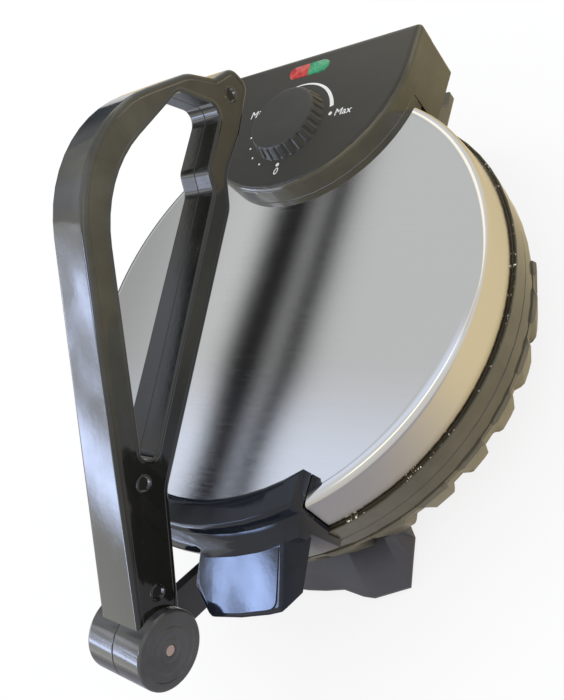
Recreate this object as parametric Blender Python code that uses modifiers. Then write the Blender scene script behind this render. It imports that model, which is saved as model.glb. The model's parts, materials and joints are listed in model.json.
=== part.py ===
"""Electric flatbread maker: a round base and hinged lid with two hot plates, a control box at the
rear of the lid, and a long press lever hinged at the front of the base. Metres, +Z up, front at -Y."""

import math

import bmesh
import bpy
from mathutils import Matrix, Vector

# Fits shared by all pieces
FIT = 0.0003
RUN = 0.0006
OVERRUN = 0.02
BIG_SIDES = 68
PLATE_SIDES = 40
ROUND_SIDES = 24
HEAD_SIDES = 16
BORE_SIDES = 12
CORNER_STEPS = 4
WIDE_ARC_RADIUS = 0.03
WIDE_ARC_FACTOR = 4
SHARP_ANGLE = math.radians(35)
WELD_DISTANCE = 0.00001

# Heights of the stack, from the floor up
FOOT_PAD_HEIGHT = 0.0027
STAND_HEIGHT = 0.0167
SHELL_HEIGHT = 0.0277
RING_HEIGHT = 0.0104
LIP_HEIGHT = 0.0126
COVER_HEIGHT = 0.0261
Z_STAND = FOOT_PAD_HEIGHT + FIT
Z_SHELL = Z_STAND + STAND_HEIGHT + FIT
Z_RING = Z_SHELL + SHELL_HEIGHT + FIT
Z_SEAM = Z_RING + RING_HEIGHT
Z_LIP = Z_SEAM + RUN
Z_COVER = Z_LIP + LIP_HEIGHT + FIT
Z_TOP = Z_COVER + COVER_HEIGHT

# Steel cover of the lid
LID_RADIUS = 0.140
COVER_FLARE = 0.0024
COVER_SHEET = 0.0008
COVER_EDGE = 0.003
COVER_EDGE_SHARES = ((0.0, 1.0), (0.7, 0.7), (1.0, 0.0))
COVER_FOOT_RADIUS = LID_RADIUS + COVER_FLARE

# Hot plates, elements and pans
PLATE_MARGIN = 0.013
PLATE_THICKNESS = 0.006
PLATE_GAP = 0.005
PLATE_RIM_GAP = 0.0016
PLATE_INSET = 0.0015
ELEMENT_SHARE = 0.67
ELEMENT_TUBE = 0.004
ELEMENT_SIDES = 6
LEDGE_WIDTH = 0.0106
LEDGE_THICKNESS = 0.0012
PAN_DEPTH = 0.0110
PAN_SHEET = 0.001
PAN_WALL = 0.003
PLATE_RADIUS = LID_RADIUS - PLATE_MARGIN
PLATE_DROP = PLATE_GAP - RUN - PLATE_INSET
ELEMENT_RADIUS = PLATE_RADIUS * ELEMENT_SHARE

# Black rings of the lid and the base
LIP_OVERHANG = 0.0024
RING_SETBACK = 0.0004
RING_TOP_BEVEL = 0.0008
LIP_EDGE = 0.0006
UPSTAND_GAP = 0.0181
UPSTAND_WALL = 0.0035
LIP_RADIUS = COVER_FOOT_RADIUS + LIP_OVERHANG
RING_RADIUS = LIP_RADIUS - RING_SETBACK

# Scalloped lower shell
SHELL_STEP = 0.0020
SHELL_TAPER = 0.0075
SHELL_WALL = 0.0025
SHELL_FLOOR_EDGE = 0.0025
SCALLOPS = 32
SCALLOP_DEPTH = 0.0048
SCALLOP_TOP_DEPTH = 0.0030
SCALLOP_REAR_SHARE = 0.292
SCALLOP_TOP_GAP = 0.0030
SCALLOP_OPEN_SHARE = 0.56
SCALLOP_FLOOR_SHARE = 0.24
SHELL_RADIUS = RING_RADIUS + SHELL_STEP
SHELL_FOOT_RADIUS = SHELL_RADIUS - SHELL_TAPER
SCALLOP_REAR_END = LID_RADIUS * SCALLOP_REAR_SHARE

# Front stand, rear block and rubber feet
STAND_DEPTH = 0.0269
STAND_SPLAY = 0.0248
STAND_TOE = 0.003
STAND_HALF_SPAN = math.radians(38.3)
STAND_FACE_ANGLE_SHARES = (0.0, 0.121, 0.242, 0.364, 0.483, 0.601, 0.666, 0.878, 0.940, 1.0)
STAND_FACE_SPLAY_SHARES = (0.66, 0.66, 0.66, 0.66, 0.66, 0.88, 0.97, 1.0, 0.45, 0.02)
FOOT_PAD_RADIUS = 0.008
FOOT_PAD_FLARE = 0.002
FRONT_FOOT_SHARE = 0.49676
FRONT_FOOT_INSET = 0.012
REAR_FOOT_X = 0.033
REAR_HALF_WIDTH = 0.0655
REAR_WAIST_HALF_WIDTH = 0.045
REAR_SHOULDER_DROP = 0.018
REAR_WAIST_DROP = 0.052
REAR_DEPTH = 0.0206
REAR_TOP_DROP = 0.0014
REAR_EDGE = 0.002
STAND_INNER_RADIUS = SHELL_FOOT_RADIUS - STAND_DEPTH
FRONT_FOOT_X = SHELL_FOOT_RADIUS * FRONT_FOOT_SHARE
REAR_FACE = RING_RADIUS + RUN + REAR_DEPTH

# Lid hinge
HINGE_DROP = 0.0039
HINGE_RUN_BACK = 0.0050
HINGE_SWEEP = 0.0158
SWEEP_KNEE_SHARE = 0.8
EAR_RADIUS = 0.0065
EAR_WIDTH = 0.006
EAR_WEB = 0.002
LUG_WIDTH = 0.007
LUG_X = 0.0545
HINGE_PIN_RADIUS = 0.002
HINGE_REACH = RING_RADIUS + RUN + HINGE_RUN_BACK
Z_HINGE = Z_COVER - HINGE_DROP

# Control box at the rear of the lid
BOX_RADIUS = 0.0773
BOX_BACK = 0.0125
BOX_DROP = 0.0215
BOX_CORNER = 0.004
BOX_RISE = 0.019
BOX_LIFT = 0.004
BOX_EDGE = 0.0016
BOX_WALL = 0.0025
NECK_RADIUS = 0.0746
NECK_FRONT_INSET = 0.0088
NECK_CUT_GAP = 0.001
NECK_DEPTH = 0.006
PANEL_THICKNESS = 0.0012
PANEL_INSET = 0.0022
ARC_SIDES = 20
BOX_REAR = HINGE_REACH + BOX_BACK
Z_BOX_TOP = Z_TOP + BOX_RISE
Z_BOX_FLOOR = Z_TOP - BOX_DROP

# Thermostat knob and lamps
KNOB_RADIUS = 0.0252
KNOB_LAMP_GAP = 0.0143
KNOB_FRONT_GAP = 0.0208
KNOB_HEIGHT = 0.0092
KNOB_TAPER_SHARE = 0.93
KNOB_EDGE = 0.0012
KNOB_RIDGES = 26
KNOB_RIDGE_DEPTH = 0.0009
KNOB_FLUTE_SHARES = ((0.00, 0), (0.55, 0), (0.70, 1), (0.85, 1))
KNOB_CAP_SHEET = 0.0025
SHAFT_RADIUS = 0.003
SHAFT_COLLAR = 0.0012
THERMOSTAT_RADIUS = 0.014
THERMOSTAT_HEIGHT = 0.011
THERMOSTAT_WALL = 0.003
LAMP_LENGTH = 0.031
LAMP_WIDTH = 0.0094
LAMP_INSET = 0.0138
LAMP_DEPTH = 0.003
LAMP_PROUD = 0.0008
LAMP_EDGE = 0.0005
LAMP_REACH = BOX_REAR - LAMP_INSET
KNOB_REACH = LAMP_REACH - LAMP_WIDTH / 2 - KNOB_LAMP_GAP - KNOB_RADIUS
BOX_FRONT_REACH = KNOB_REACH - KNOB_RADIUS - KNOB_FRONT_GAP
NECK_FRONT = BOX_FRONT_REACH + NECK_FRONT_INSET

# Front grip of the lid
GRIP_HALF_WIDTH = 0.076
PAD_WIDTH = 0.0135
PAD_RISE = 0.010
PAD_EDGE = 0.0024
GRIP_WALL = 0.0032
GRIP_LEDGE = 0.0012
GRIP_DROP = 0.0124
GRIP_RIM = 0.0028
GRIP_RIM_HEIGHT = 0.010
THUMB_REACH = 0.0318
THUMB_STEP = 0.0005
THUMB_SLOPE = 0.009
THUMB_THICKNESS = 0.016
THUMB_TIP = 0.0015
THUMB_UNDERCUT = 0.009
THUMB_DRAFT = 0.006
THUMB_CORNER = 0.005
THUMB_PLAN_SHARES = (
    (0.243, -0.700, 0.0), (0.243, -0.920, THUMB_CORNER), (0.420, -0.990, THUMB_CORNER),
    (0.660, -0.990, 0.0), (0.970, -0.920, THUMB_CORNER), (0.970, -0.600, 0.0),
)
INLAY_MARGIN = 0.0024
INLAY_DEPTH = 0.0012
INLAY_PROUD = 0.0004
GRIP_INNER_RADIUS = LIP_RADIUS + FIT + FIT
GRIP_RADIUS = GRIP_INNER_RADIUS + GRIP_WALL
THUMB_RADIUS = GRIP_RADIUS + THUMB_REACH

# Press lever and its pivot
PIVOT_DROP = 0.0024
PIVOT_STANDOFF = 0.0299
BARREL_RADIUS = 0.0198
BARREL_HALF_WIDTH = 0.0205
BARREL_BORE_RADIUS = 0.0132
BARREL_BORE_HALF = 0.0090
BARREL_SLOT_OVERCUT = 0.005
BARREL_CAP_RECESS = 0.0008
BARREL_CAP_RADIUS = 0.0145
BARREL_CAP_BOSS = 0.0052
SLOT_START_ANGLE = math.radians(18)
SLOT_END_ANGLE = math.radians(-192)
SLOT_SIDES = 18
PIVOT_PIN_RADIUS = 0.0027
LEVER_REACH = 0.2916
LEVER_RISE_SHARE = 0.47257
LEVER_FOOT_HALF = 0.0153
LEVER_TIP_HALF = 0.0107
LEVER_EDGE = 0.0014
SEAM = 0.00015
CROWN_SHARE = 0.2469
SHOULDER_SHARE = 0.0686
BEND_SHARE = 0.0480
CORNER_SHARE = 0.0206
LOOP_CROWN_SHARE = 0.2263
LOOP_FOOT_SHARE = 0.0171
LEVER_RISE = LEVER_REACH * LEVER_RISE_SHARE
CROWN_RADIUS = LEVER_REACH * CROWN_SHARE
SHOULDER_RADIUS = LEVER_REACH * SHOULDER_SHARE
BEND_RADIUS = LEVER_REACH * BEND_SHARE
CORNER_RADIUS = LEVER_REACH * CORNER_SHARE
LOOP_CROWN_RADIUS = LEVER_REACH * LOOP_CROWN_SHARE
LOOP_FOOT_RADIUS = LEVER_REACH * LOOP_FOOT_SHARE
PIVOT_REACH = GRIP_RADIUS + PIVOT_STANDOFF + BARREL_RADIUS
Z_PIVOT = Z_TOP - PIVOT_DROP

# Corners of the lever's side as shares of its reach and rise from the pivot, each with its radius
LEVER_SIDE_SHARES = (
    (-0.017, 0.092, 0.0),
    (0.692, 1.123, CROWN_RADIUS),
    (0.916, 0.781, SHOULDER_RADIUS),
    (0.952, 0.664, CORNER_RADIUS),
    (1.000, 0.606, CORNER_RADIUS),
    (1.000, 0.504, CORNER_RADIUS),
    (0.898, 0.457, SHOULDER_RADIUS),
    (0.816, 0.450, BEND_RADIUS),
    (0.761, 0.374, BEND_RADIUS),
    (0.247, 0.218, BEND_RADIUS),
    (0.055, -0.034, 0.0),
)
LEVER_LOOP_SHARES = (
    (0.273, 0.381, LOOP_FOOT_RADIUS),
    (0.648, 0.929, LOOP_CROWN_RADIUS),
    (0.874, 0.787, CORNER_RADIUS),
    (0.916, 0.583, CORNER_RADIUS),
    (0.792, 0.544, CORNER_RADIUS),
    (0.765, 0.483, CORNER_RADIUS),
    (0.285, 0.319, LOOP_FOOT_RADIUS),
)
LEVER_SCREW_SHARES = ((0.950, 0.570), (0.239, 0.337), (0.083, 0.114))
SCREW_HEAD_RADIUS = 0.0032
SCREW_HEAD_HEIGHT = 0.0020
SCREW_SHANK_RADIUS = 0.0015
SCREW_SINK = 0.0035
SCREW_GRIP = 0.0060

# Plate bracket that carries the lever, from the shell's front wall up to the pivot
BRACKET_HALF_THICKNESS = 0.003
BRACKET_HALF_BREADTH = 0.011
BRACKET_SLOPE = math.radians(-41.5)
BRACKET_STEM_WIDTH = 0.0097
BRACKET_TAB_HEIGHT = 0.0195
BRACKET_TAB_LENGTH = 0.016
BRACKET_BEND = 0.010
NECK_FRONT_ANGLE = math.radians(-50)
KNUCKLE_RADIUS = 0.0120
KNUCKLE_HALF_WIDTH = 0.0082

# Bottom cover, its screws and the cable gland
BOTTOM_SHARE = 0.61
BOTTOM_SHEET = 0.002
BOTTOM_SCREW_INSET = 0.010
BOTTOM_SCREWS = 4
GLAND_RADIUS = 0.007
GLAND_LENGTH = 0.008
GLAND_BORE = 0.0036
GLAND_X = 0.036
GLAND_RISE = 0.014
GLAND_SEAT = 0.002
BOTTOM_RADIUS = SHELL_FOOT_RADIUS * BOTTOM_SHARE
BOTTOM_SCREW_REACH = BOTTOM_RADIUS - BOTTOM_SCREW_INSET

# Inner end and lower edge of the bracket's tab
TAB_END = RING_RADIUS - BRACKET_TAB_LENGTH
Z_TAB = Z_SHELL + SHELL_WALL + FIT * 2

# The model is centred on the floor under the middle of its length
FRONT_END = PIVOT_REACH + BARREL_RADIUS
REAR_END = REAR_FACE + GLAND_LENGTH
LID_Y = (FRONT_END - REAR_END) / 2

parts = bpy.data.collections.new("electric_flatbread_maker")
cutters = bpy.data.collections.new("cutters")


def clear_scene():
    for item in list(bpy.data.objects):
        bpy.data.objects.remove(item, do_unlink=True)
    bpy.context.scene.collection.children.link(parts)
    bpy.context.scene.collection.children.link(cutters)


def finish(name, colour, roughness, metallic=0.0):
    made = bpy.data.materials.new(name)
    made.use_nodes = True
    shader = made.node_tree.nodes["Principled BSDF"]
    shader.inputs["Base Color"].default_value = (*colour, 1.0)
    shader.inputs["Roughness"].default_value = roughness
    shader.inputs["Metallic"].default_value = metallic
    return made


def axis_empty(name, where):
    empty = bpy.data.objects.new(name, None)
    empty.location = where
    parts.objects.link(empty)
    return empty


def add(name, mesh, where, material=None, parent=None):
    """A part when it has a material, otherwise a hidden cutter. The place is in world coordinates."""
    item = bpy.data.objects.new(name, mesh)
    item.location = Vector(where)
    if material is None:
        item.hide_render = True
        item.display_type = "WIRE"
        cutters.objects.link(item)
        return item
    mesh.materials.append(material)
    mesh.shade_smooth()
    mesh.set_sharp_from_angle(angle=SHARP_ANGLE)
    parts.objects.link(item)
    if parent is not None:
        item.location = Vector(where) - parent.location
        item.parent = parent
    return item


def combine(item, other, operation="DIFFERENCE"):
    change = item.modifiers.new(operation.lower(), "BOOLEAN")
    change.operation = operation
    change.object = other
    change.solver = "EXACT"
    return item


def cut(item, *tools):
    for tool in tools:
        combine(item, tool)
    return item


def rounded(corners):
    """Points of an outline whose corners (u, v, radius) are rounded by arcs."""
    points = []
    for index, (u, v, radius) in enumerate(corners):
        corner = Vector((u, v))
        if radius == 0:
            points.append(tuple(corner))
            continue
        before = Vector(corners[index - 1][:2]) - corner
        after = Vector(corners[(index + 1) % len(corners)][:2]) - corner
        half = before.angle(after) / 2
        reach = radius / math.tan(half)
        start = corner + before.normalized() * reach
        end = corner + after.normalized() * reach
        middle = (before.normalized() + after.normalized()).normalized()
        centre = corner + middle * (reach / math.cos(half))
        quarters = (math.pi - 2 * half) / (math.pi / 2)
        factor = WIDE_ARC_FACTOR if radius > WIDE_ARC_RADIUS else 1
        steps = max(2, round(CORNER_STEPS * quarters * factor))
        first = start - centre
        turn = first.angle_signed(end - centre)
        for step in range(steps + 1):
            arm = Matrix.Rotation(-turn * step / steps, 2) @ first
            points.append(tuple(centre + arm))
    return points


AXES = {
    "X": Matrix(((0, 0, 1), (1, 0, 0), (0, 1, 0))).to_4x4(),
    "Y": Matrix(((1, 0, 0), (0, 0, -1), (0, 1, 0))).to_4x4(),
    "Z": Matrix.Identity(4),
}


def slab(name, outlines, low, high, edge=0.0, axis="Z"):
    """A flat outline with holes, as a mesh between two places along an axis. Across X it is (Y, Z)."""
    curve = bpy.data.curves.new(name, "CURVE")
    curve.dimensions = "2D"
    curve.fill_mode = "BOTH"
    curve.extrude = (high - low) / 2 - edge
    curve.bevel_depth = edge
    curve.bevel_resolution = 1
    curve.offset = -edge
    for outline in outlines:
        spline = curve.splines.new("POLY")
        spline.points.add(len(outline) - 1)
        for point, (u, v) in zip(spline.points, outline):
            point.co = (u, v, 0, 1)
        spline.use_cyclic_u = True
    source = bpy.data.objects.new(name, curve)
    cutters.objects.link(source)
    graph = bpy.context.evaluated_depsgraph_get()
    mesh = bpy.data.meshes.new_from_object(source.evaluated_get(graph))
    bpy.data.objects.remove(source)
    bpy.data.curves.remove(curve)
    mesh.name = name
    mesh.transform(AXES[axis] @ Matrix.Translation((0, 0, (low + high) / 2)))
    return weld(mesh)


def weld(mesh):
    shape = bmesh.new()
    shape.from_mesh(mesh)
    bmesh.ops.remove_doubles(shape, verts=shape.verts, dist=WELD_DISTANCE)
    bmesh.ops.recalc_face_normals(shape, faces=shape.faces)
    shape.to_mesh(mesh)
    shape.free()
    return mesh


def rod(name, radius, low, high, axis="Z", sides=ROUND_SIDES, radius_high=None):
    shape = bmesh.new()
    upper = radius_high or radius
    bmesh.ops.create_cone(
        shape, cap_ends=True, segments=sides, radius1=radius, radius2=upper, depth=high - low
    )
    mesh = bpy.data.meshes.new(name)
    shape.to_mesh(mesh)
    shape.free()
    mesh.transform(AXES[axis] @ Matrix.Translation((0, 0, (low + high) / 2)))
    return mesh


def block(name, low, high):
    shape = bmesh.new()
    bmesh.ops.create_cube(shape, size=1.0)
    for vertex in shape.verts:
        for side in range(3):
            share = vertex.co[side] + 0.5
            vertex.co[side] = low[side] + (high[side] - low[side]) * share
    mesh = bpy.data.meshes.new(name)
    shape.to_mesh(mesh)
    shape.free()
    return mesh


def profile_mesh(name, profile, closed):
    shape = bmesh.new()
    corners = [shape.verts.new((radius, 0, height)) for radius, height in profile]
    pairs = list(zip(corners, corners[1:]))
    if closed:
        pairs.append((corners[-1], corners[0]))
    for pair in pairs:
        shape.edges.new(pair)
    mesh = bpy.data.meshes.new(name)
    shape.to_mesh(mesh)
    shape.free()
    return mesh


def turned(name, profile, where, material=None, parent=None, closed=True, sides=BIG_SIDES):
    """A profile (radius, height) that runs down its outer side, turned about a vertical axis."""
    item = add(name, profile_mesh(name, profile, closed), where, material, parent)
    screw = item.modifiers.new("turn", "SCREW")
    screw.steps = sides
    screw.render_steps = sides
    screw.use_merge_vertices = True
    screw.merge_threshold = WELD_DISTANCE
    return item


def d_outline(radius, front, back, shrink=0.0):
    """A rounded front of this radius whose straight sides run back, all drawn in by shrink."""
    inner = radius - shrink
    centre = front + radius
    points = []
    for step in range(ARC_SIDES + 1):
        angle = math.pi + math.pi * step / ARC_SIDES
        points.append((inner * math.cos(angle), centre + inner * math.sin(angle)))
    corner = BOX_CORNER - min(shrink, BOX_CORNER / 2)
    for sign, first in ((1, 0), (-1, math.pi / 2)):
        for step in range(CORNER_STEPS + 1):
            angle = first + math.pi / 2 * step / CORNER_STEPS
            u = sign * (inner - corner) + corner * math.cos(angle)
            points.append((u, back - shrink - corner + corner * math.sin(angle)))
    return points


def cover_radius(height):
    """Outer radius of the steel cover's side at a height."""
    drop = Z_TOP - COVER_EDGE - height
    return LID_RADIUS + COVER_FLARE * drop / (COVER_HEIGHT - COVER_EDGE)


MIDDLE = (0, LID_Y, 0)
HINGE = (0, LID_Y + HINGE_REACH, Z_HINGE)
PIVOT = (0, LID_Y - PIVOT_REACH, Z_PIVOT)
KNOB_BASE = (0, LID_Y + KNOB_REACH, Z_BOX_TOP)


def make_base_shell(base, black):
    shell = turned(
        "base_shell",
        [
            (SHELL_RADIUS, Z_SHELL + SHELL_HEIGHT),
            (SHELL_RADIUS - FIT, Z_SHELL + SHELL_HEIGHT - SCALLOP_TOP_GAP),
            (SHELL_FOOT_RADIUS, Z_SHELL + SHELL_FLOOR_EDGE),
            (SHELL_FOOT_RADIUS - SHELL_FLOOR_EDGE, Z_SHELL),
            (0, Z_SHELL),
            (0, Z_SHELL + SHELL_WALL),
            (SHELL_FOOT_RADIUS - SHELL_FLOOR_EDGE - SCALLOP_DEPTH, Z_SHELL + SHELL_WALL),
            (SHELL_RADIUS - SCALLOP_DEPTH - SHELL_WALL, Z_SHELL + SHELL_HEIGHT),
        ],
        MIDDLE, black, base,
    )
    half = BRACKET_HALF_THICKNESS + FIT
    slot = block(
        "bracket_slot",
        (-half, -RING_RADIUS - OVERRUN, Z_TAB - FIT),
        (half, FIT - TAB_END, Z_TAB + BRACKET_TAB_HEIGHT + FIT),
    )
    return cut(shell, scallop_cutter(), rear_trim(), add("bracket_slot", slot, MIDDLE))


def rear_trim():
    """Takes the lobes off the rear of the shell, down to the floor of the notches."""
    top = Z_SHELL + SHELL_HEIGHT
    low = Z_SHELL - SHELL_FLOOR_EDGE
    outer = SHELL_RADIUS + OVERRUN
    floor_top = SHELL_RADIUS - SCALLOP_TOP_DEPTH
    floor_low = SHELL_FOOT_RADIUS - SCALLOP_DEPTH
    profile = [(outer, top + FIT), (outer, low), (floor_low, low), (floor_top, top + FIT)]
    trim = turned("rear_trim", profile, MIDDLE)
    keep = block("rear_trim_keep", (-outer, SCALLOP_REAR_END, 0), (outer, outer, top + OVERRUN))
    return combine(trim, add("rear_trim_keep", keep, MIDDLE), "INTERSECT")


def scallop_cutter():
    """One cutter of many tapered notches that deepen towards the floor."""
    pitch = math.tau / SCALLOPS * SHELL_RADIUS
    top = Z_SHELL + SHELL_HEIGHT - SCALLOP_TOP_GAP
    slope = SHELL_TAPER / (SHELL_HEIGHT - SCALLOP_TOP_GAP - SHELL_FLOOR_EDGE)
    low = Z_SHELL - SHELL_FLOOR_EDGE
    floor_top = SHELL_RADIUS - SCALLOP_TOP_DEPTH
    floor_low = SHELL_RADIUS - (top - low) * slope - SCALLOP_DEPTH
    outer = SHELL_RADIUS + SCALLOP_DEPTH
    open_half = pitch * SCALLOP_OPEN_SHARE / 2
    floor_half = pitch * SCALLOP_FLOOR_SHARE / 2
    shape = bmesh.new()
    for index in range(SCALLOPS):
        if SHELL_RADIUS * math.sin(math.tau * index / SCALLOPS) > SCALLOP_REAR_END:
            continue
        made = bmesh.ops.create_cube(shape, size=1.0)["verts"]
        for vertex in made:
            upper = vertex.co.z > 0
            away = vertex.co.x > 0
            half = open_half + (outer - SHELL_RADIUS) * 2 if away else floor_half
            vertex.co.y = math.copysign(half, vertex.co.y)
            vertex.co.x = outer if away else (floor_top if upper else floor_low)
            vertex.co.z = top if upper else low
        turn = Matrix.Rotation(math.tau * index / SCALLOPS, 3, "Z")
        bmesh.ops.rotate(shape, verts=made, cent=(0, 0, 0), matrix=turn)
    mesh = bpy.data.meshes.new("scallop_cutter")
    shape.to_mesh(mesh)
    shape.free()
    return add("scallop_cutter", mesh, MIDDLE)


def make_base_ring(base, gloss):
    ledge = Z_SEAM - PLATE_DROP - PLATE_THICKNESS - FIT
    seat = PLATE_RADIUS + PLATE_RIM_GAP
    turned(
        "base_ring",
        [
            (RING_RADIUS - RING_TOP_BEVEL, Z_SEAM),
            (RING_RADIUS, Z_SEAM - RING_TOP_BEVEL),
            (RING_RADIUS, Z_RING),
            (seat - LEDGE_WIDTH, Z_RING),
            (seat - LEDGE_WIDTH, ledge),
            (seat, ledge),
            (seat, Z_SEAM),
        ],
        MIDDLE, gloss, base,
    )


def make_plates(base, lid, coated, steel, dull):
    """Hot plate, heating element and pan of the base and of the lid."""
    low_top = Z_SEAM - PLATE_DROP
    high_low = Z_LIP + PLATE_INSET
    for name, owner, face, away in (("lower", base, low_top, -1), ("upper", lid, high_low, 1)):
        back = face + away * PLATE_THICKNESS
        top, low = max(face, back), min(face, back)
        turned(
            name + "_plate",
            [(0, top), (PLATE_RADIUS, top), (PLATE_RADIUS, low), (0, low)],
            MIDDLE, coated, owner, closed=False, sides=PLATE_SIDES,
        )
        centre = back + away * (FIT + ELEMENT_TUBE)
        ring = [
            (
                ELEMENT_RADIUS + ELEMENT_TUBE * math.cos(-math.tau * side / ELEMENT_SIDES),
                centre + ELEMENT_TUBE * math.sin(-math.tau * side / ELEMENT_SIDES),
            )
            for side in range(ELEMENT_SIDES)
        ]
        turned(name + "_element", ring, MIDDLE, dull, owner, sides=PLATE_SIDES)
        make_pan(name + "_pan", owner, back, away, steel)


def make_pan(name, owner, back, away, steel):
    rim = back + away * (FIT + LEDGE_THICKNESS + FIT)
    rim_radius = PLATE_RADIUS + PLATE_RIM_GAP - LEDGE_WIDTH + PAN_WALL
    floor = rim + away * PAN_DEPTH
    inside = floor - away * PAN_SHEET
    profile = [
        (rim_radius, rim), (rim_radius, floor), (0, floor),
        (0, inside), (rim_radius - PAN_SHEET, inside), (rim_radius - PAN_SHEET, rim),
    ]
    if away > 0:
        profile.reverse()
    ends_open = profile[3:] + profile[:3]
    turned(name, ends_open, MIDDLE, steel, owner, closed=False, sides=PLATE_SIDES)


def make_front_stand(base, matt):
    """Stand with a rounded middle and two splayed legs: sections round the front, lofted together."""
    foot, top = Z_STAND, Z_STAND + STAND_HEIGHT
    crown = SHELL_FOOT_RADIUS - SHELL_FLOOR_EDGE
    shape = bmesh.new()
    sections = list(zip(STAND_FACE_ANGLE_SHARES, STAND_FACE_SPLAY_SHARES))
    mirrored = [(-share, splay) for share, splay in reversed(sections[1:])]
    rings = []
    for share, splay in mirrored + sections:
        angle = STAND_HALF_SPAN * share
        toe = crown + STAND_SPLAY * splay
        corners = [
            (crown, top), (toe, foot + STAND_TOE), (toe, foot),
            (STAND_INNER_RADIUS, foot), (STAND_INNER_RADIUS, top),
        ]
        ring = [shape.verts.new((r * math.sin(angle), -r * math.cos(angle), z)) for r, z in corners]
        rings.append(ring)
    for here, after in zip(rings, rings[1:]):
        for index in range(len(here)):
            other = (index + 1) % len(here)
            shape.faces.new((here[index], after[index], after[other], here[other]))
    shape.faces.new(rings[0])
    shape.faces.new(rings[-1])
    bmesh.ops.recalc_face_normals(shape, faces=shape.faces)
    mesh = bpy.data.meshes.new("front_stand")
    shape.to_mesh(mesh)
    shape.free()
    return add("front_stand", mesh, MIDDLE, matt, base)


def make_feet(base, rubber):
    front_y = math.sqrt((SHELL_FOOT_RADIUS - FRONT_FOOT_INSET) ** 2 - FRONT_FOOT_X**2)
    rear_y = REAR_FACE - REAR_DEPTH
    places = (
        ("front_left", -FRONT_FOOT_X, -front_y), ("front_right", FRONT_FOOT_X, -front_y),
        ("rear_left", -REAR_FOOT_X, rear_y), ("rear_right", REAR_FOOT_X, rear_y),
    )
    wide = FOOT_PAD_RADIUS + FOOT_PAD_FLARE
    for place, x, y in places:
        pad = rod("rubber_foot", FOOT_PAD_RADIUS, 0, FOOT_PAD_HEIGHT, radius_high=wide)
        add("rubber_foot_" + place, pad, (x, LID_Y + y, 0), rubber, base)


def make_rear_block(base, matt):
    """Block behind the round base that stands on the floor and carries the lid's hinge."""
    top = Z_COVER - REAR_TOP_DROP
    side = REAR_HALF_WIDTH
    outline = rounded([
        (STAND_INNER_RADIUS, Z_STAND, 0.0),
        (REAR_FACE, Z_STAND, REAR_EDGE),
        (REAR_FACE, top, REAR_EDGE),
        (STAND_INNER_RADIUS, top, 0.0),
    ])
    mesh = slab("rear_block", [outline], -side, side, REAR_EDGE / 2, "X")
    rear = add("rear_block", mesh, MIDDLE, matt, base)
    round_gap = add(
        "rear_round_gap",
        rod("rear_round_gap", RING_RADIUS + RUN, Z_SHELL - FIT, Z_TOP, sides=BIG_SIDES),
        MIDDLE,
    )
    inner = -REAR_HALF_WIDTH + EAR_WIDTH
    trough = add("hinge_trough", rod("hinge_trough", HINGE_SWEEP, inner, -inner, "X"), HINGE)
    sweep = rounded([
        (0, -HINGE_SWEEP, HINGE_SWEEP / 2),
        (HINGE_SWEEP, -HINGE_SWEEP * SWEEP_KNEE_SHARE, HINGE_SWEEP / 2),
        (HINGE_SWEEP + OVERRUN, 0, 0.0),
        (HINGE_SWEEP + OVERRUN, OVERRUN, 0.0),
        (0, OVERRUN, 0.0),
    ])
    past = side + OVERRUN
    notch = add("hinge_notch", slab("hinge_notch", [sweep], -past, past, 0.0, "X"), HINGE)
    cut(rear, round_gap, trough, notch)
    waist = REAR_WAIST_HALF_WIDTH
    shoulder = rounded([
        (-side - REAR_EDGE, top + OVERRUN, 0.0), (-side - REAR_EDGE, top - REAR_SHOULDER_DROP, 0.0),
        (-waist, top - REAR_WAIST_DROP, REAR_SHOULDER_DROP), (-waist, -OVERRUN, 0.0),
        (waist, -OVERRUN, 0.0), (waist, top - REAR_WAIST_DROP, REAR_SHOULDER_DROP),
        (side + REAR_EDGE, top - REAR_SHOULDER_DROP, 0.0), (side + REAR_EDGE, top + OVERRUN, 0.0),
    ])
    keep = slab("rear_keep", [shoulder], -REAR_END, OVERRUN, 0.0, "Y")
    combine(rear, add("rear_keep", keep, MIDDLE), "INTERSECT")
    for sign in (-1, 1):
        for offset in (-1, 1):
            middle = sign * LUG_X + offset * (LUG_WIDTH / 2 + FIT + EAR_WIDTH / 2)
            combine(rear, ear_shape(f"hinge_ear_{sign}_{offset}", middle), "UNION")
    bore = rod("hinge_bore", HINGE_PIN_RADIUS + FIT, -past, past, "X", BORE_SIDES)
    return cut(rear, add("hinge_bore", bore, HINGE))


def ear_shape(name, middle):
    """A hinge ear: a disc on the axis with a web that runs down into the block."""
    points = [(EAR_WEB, -HINGE_SWEEP - REAR_EDGE), (-EAR_RADIUS, -HINGE_SWEEP - REAR_EDGE)]
    for step in range(ROUND_SIDES // 2 + 1):
        angle = math.pi - math.pi * step / (ROUND_SIDES // 2)
        points.append((EAR_RADIUS * math.cos(angle), EAR_RADIUS * math.sin(angle)))
    for step in range(1, ROUND_SIDES // 6):
        angle = -math.pi / 2 * step / (ROUND_SIDES // 6)
        points.append((EAR_RADIUS * math.cos(angle), EAR_RADIUS * math.sin(angle)))
    mesh = slab(name, [points], middle - EAR_WIDTH / 2, middle + EAR_WIDTH / 2, 0.0, "X")
    return add(name, mesh, HINGE)


def make_hinge_pins(base, steel):
    half = LUG_WIDTH / 2 + FIT + EAR_WIDTH
    for side, sign in (("left", -1), ("right", 1)):
        middle = sign * LUG_X
        mesh = rod("hinge_pin", HINGE_PIN_RADIUS, middle - half, middle + half, "X", BORE_SIDES)
        add("hinge_pin_" + side, mesh, HINGE, steel, base)


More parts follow.
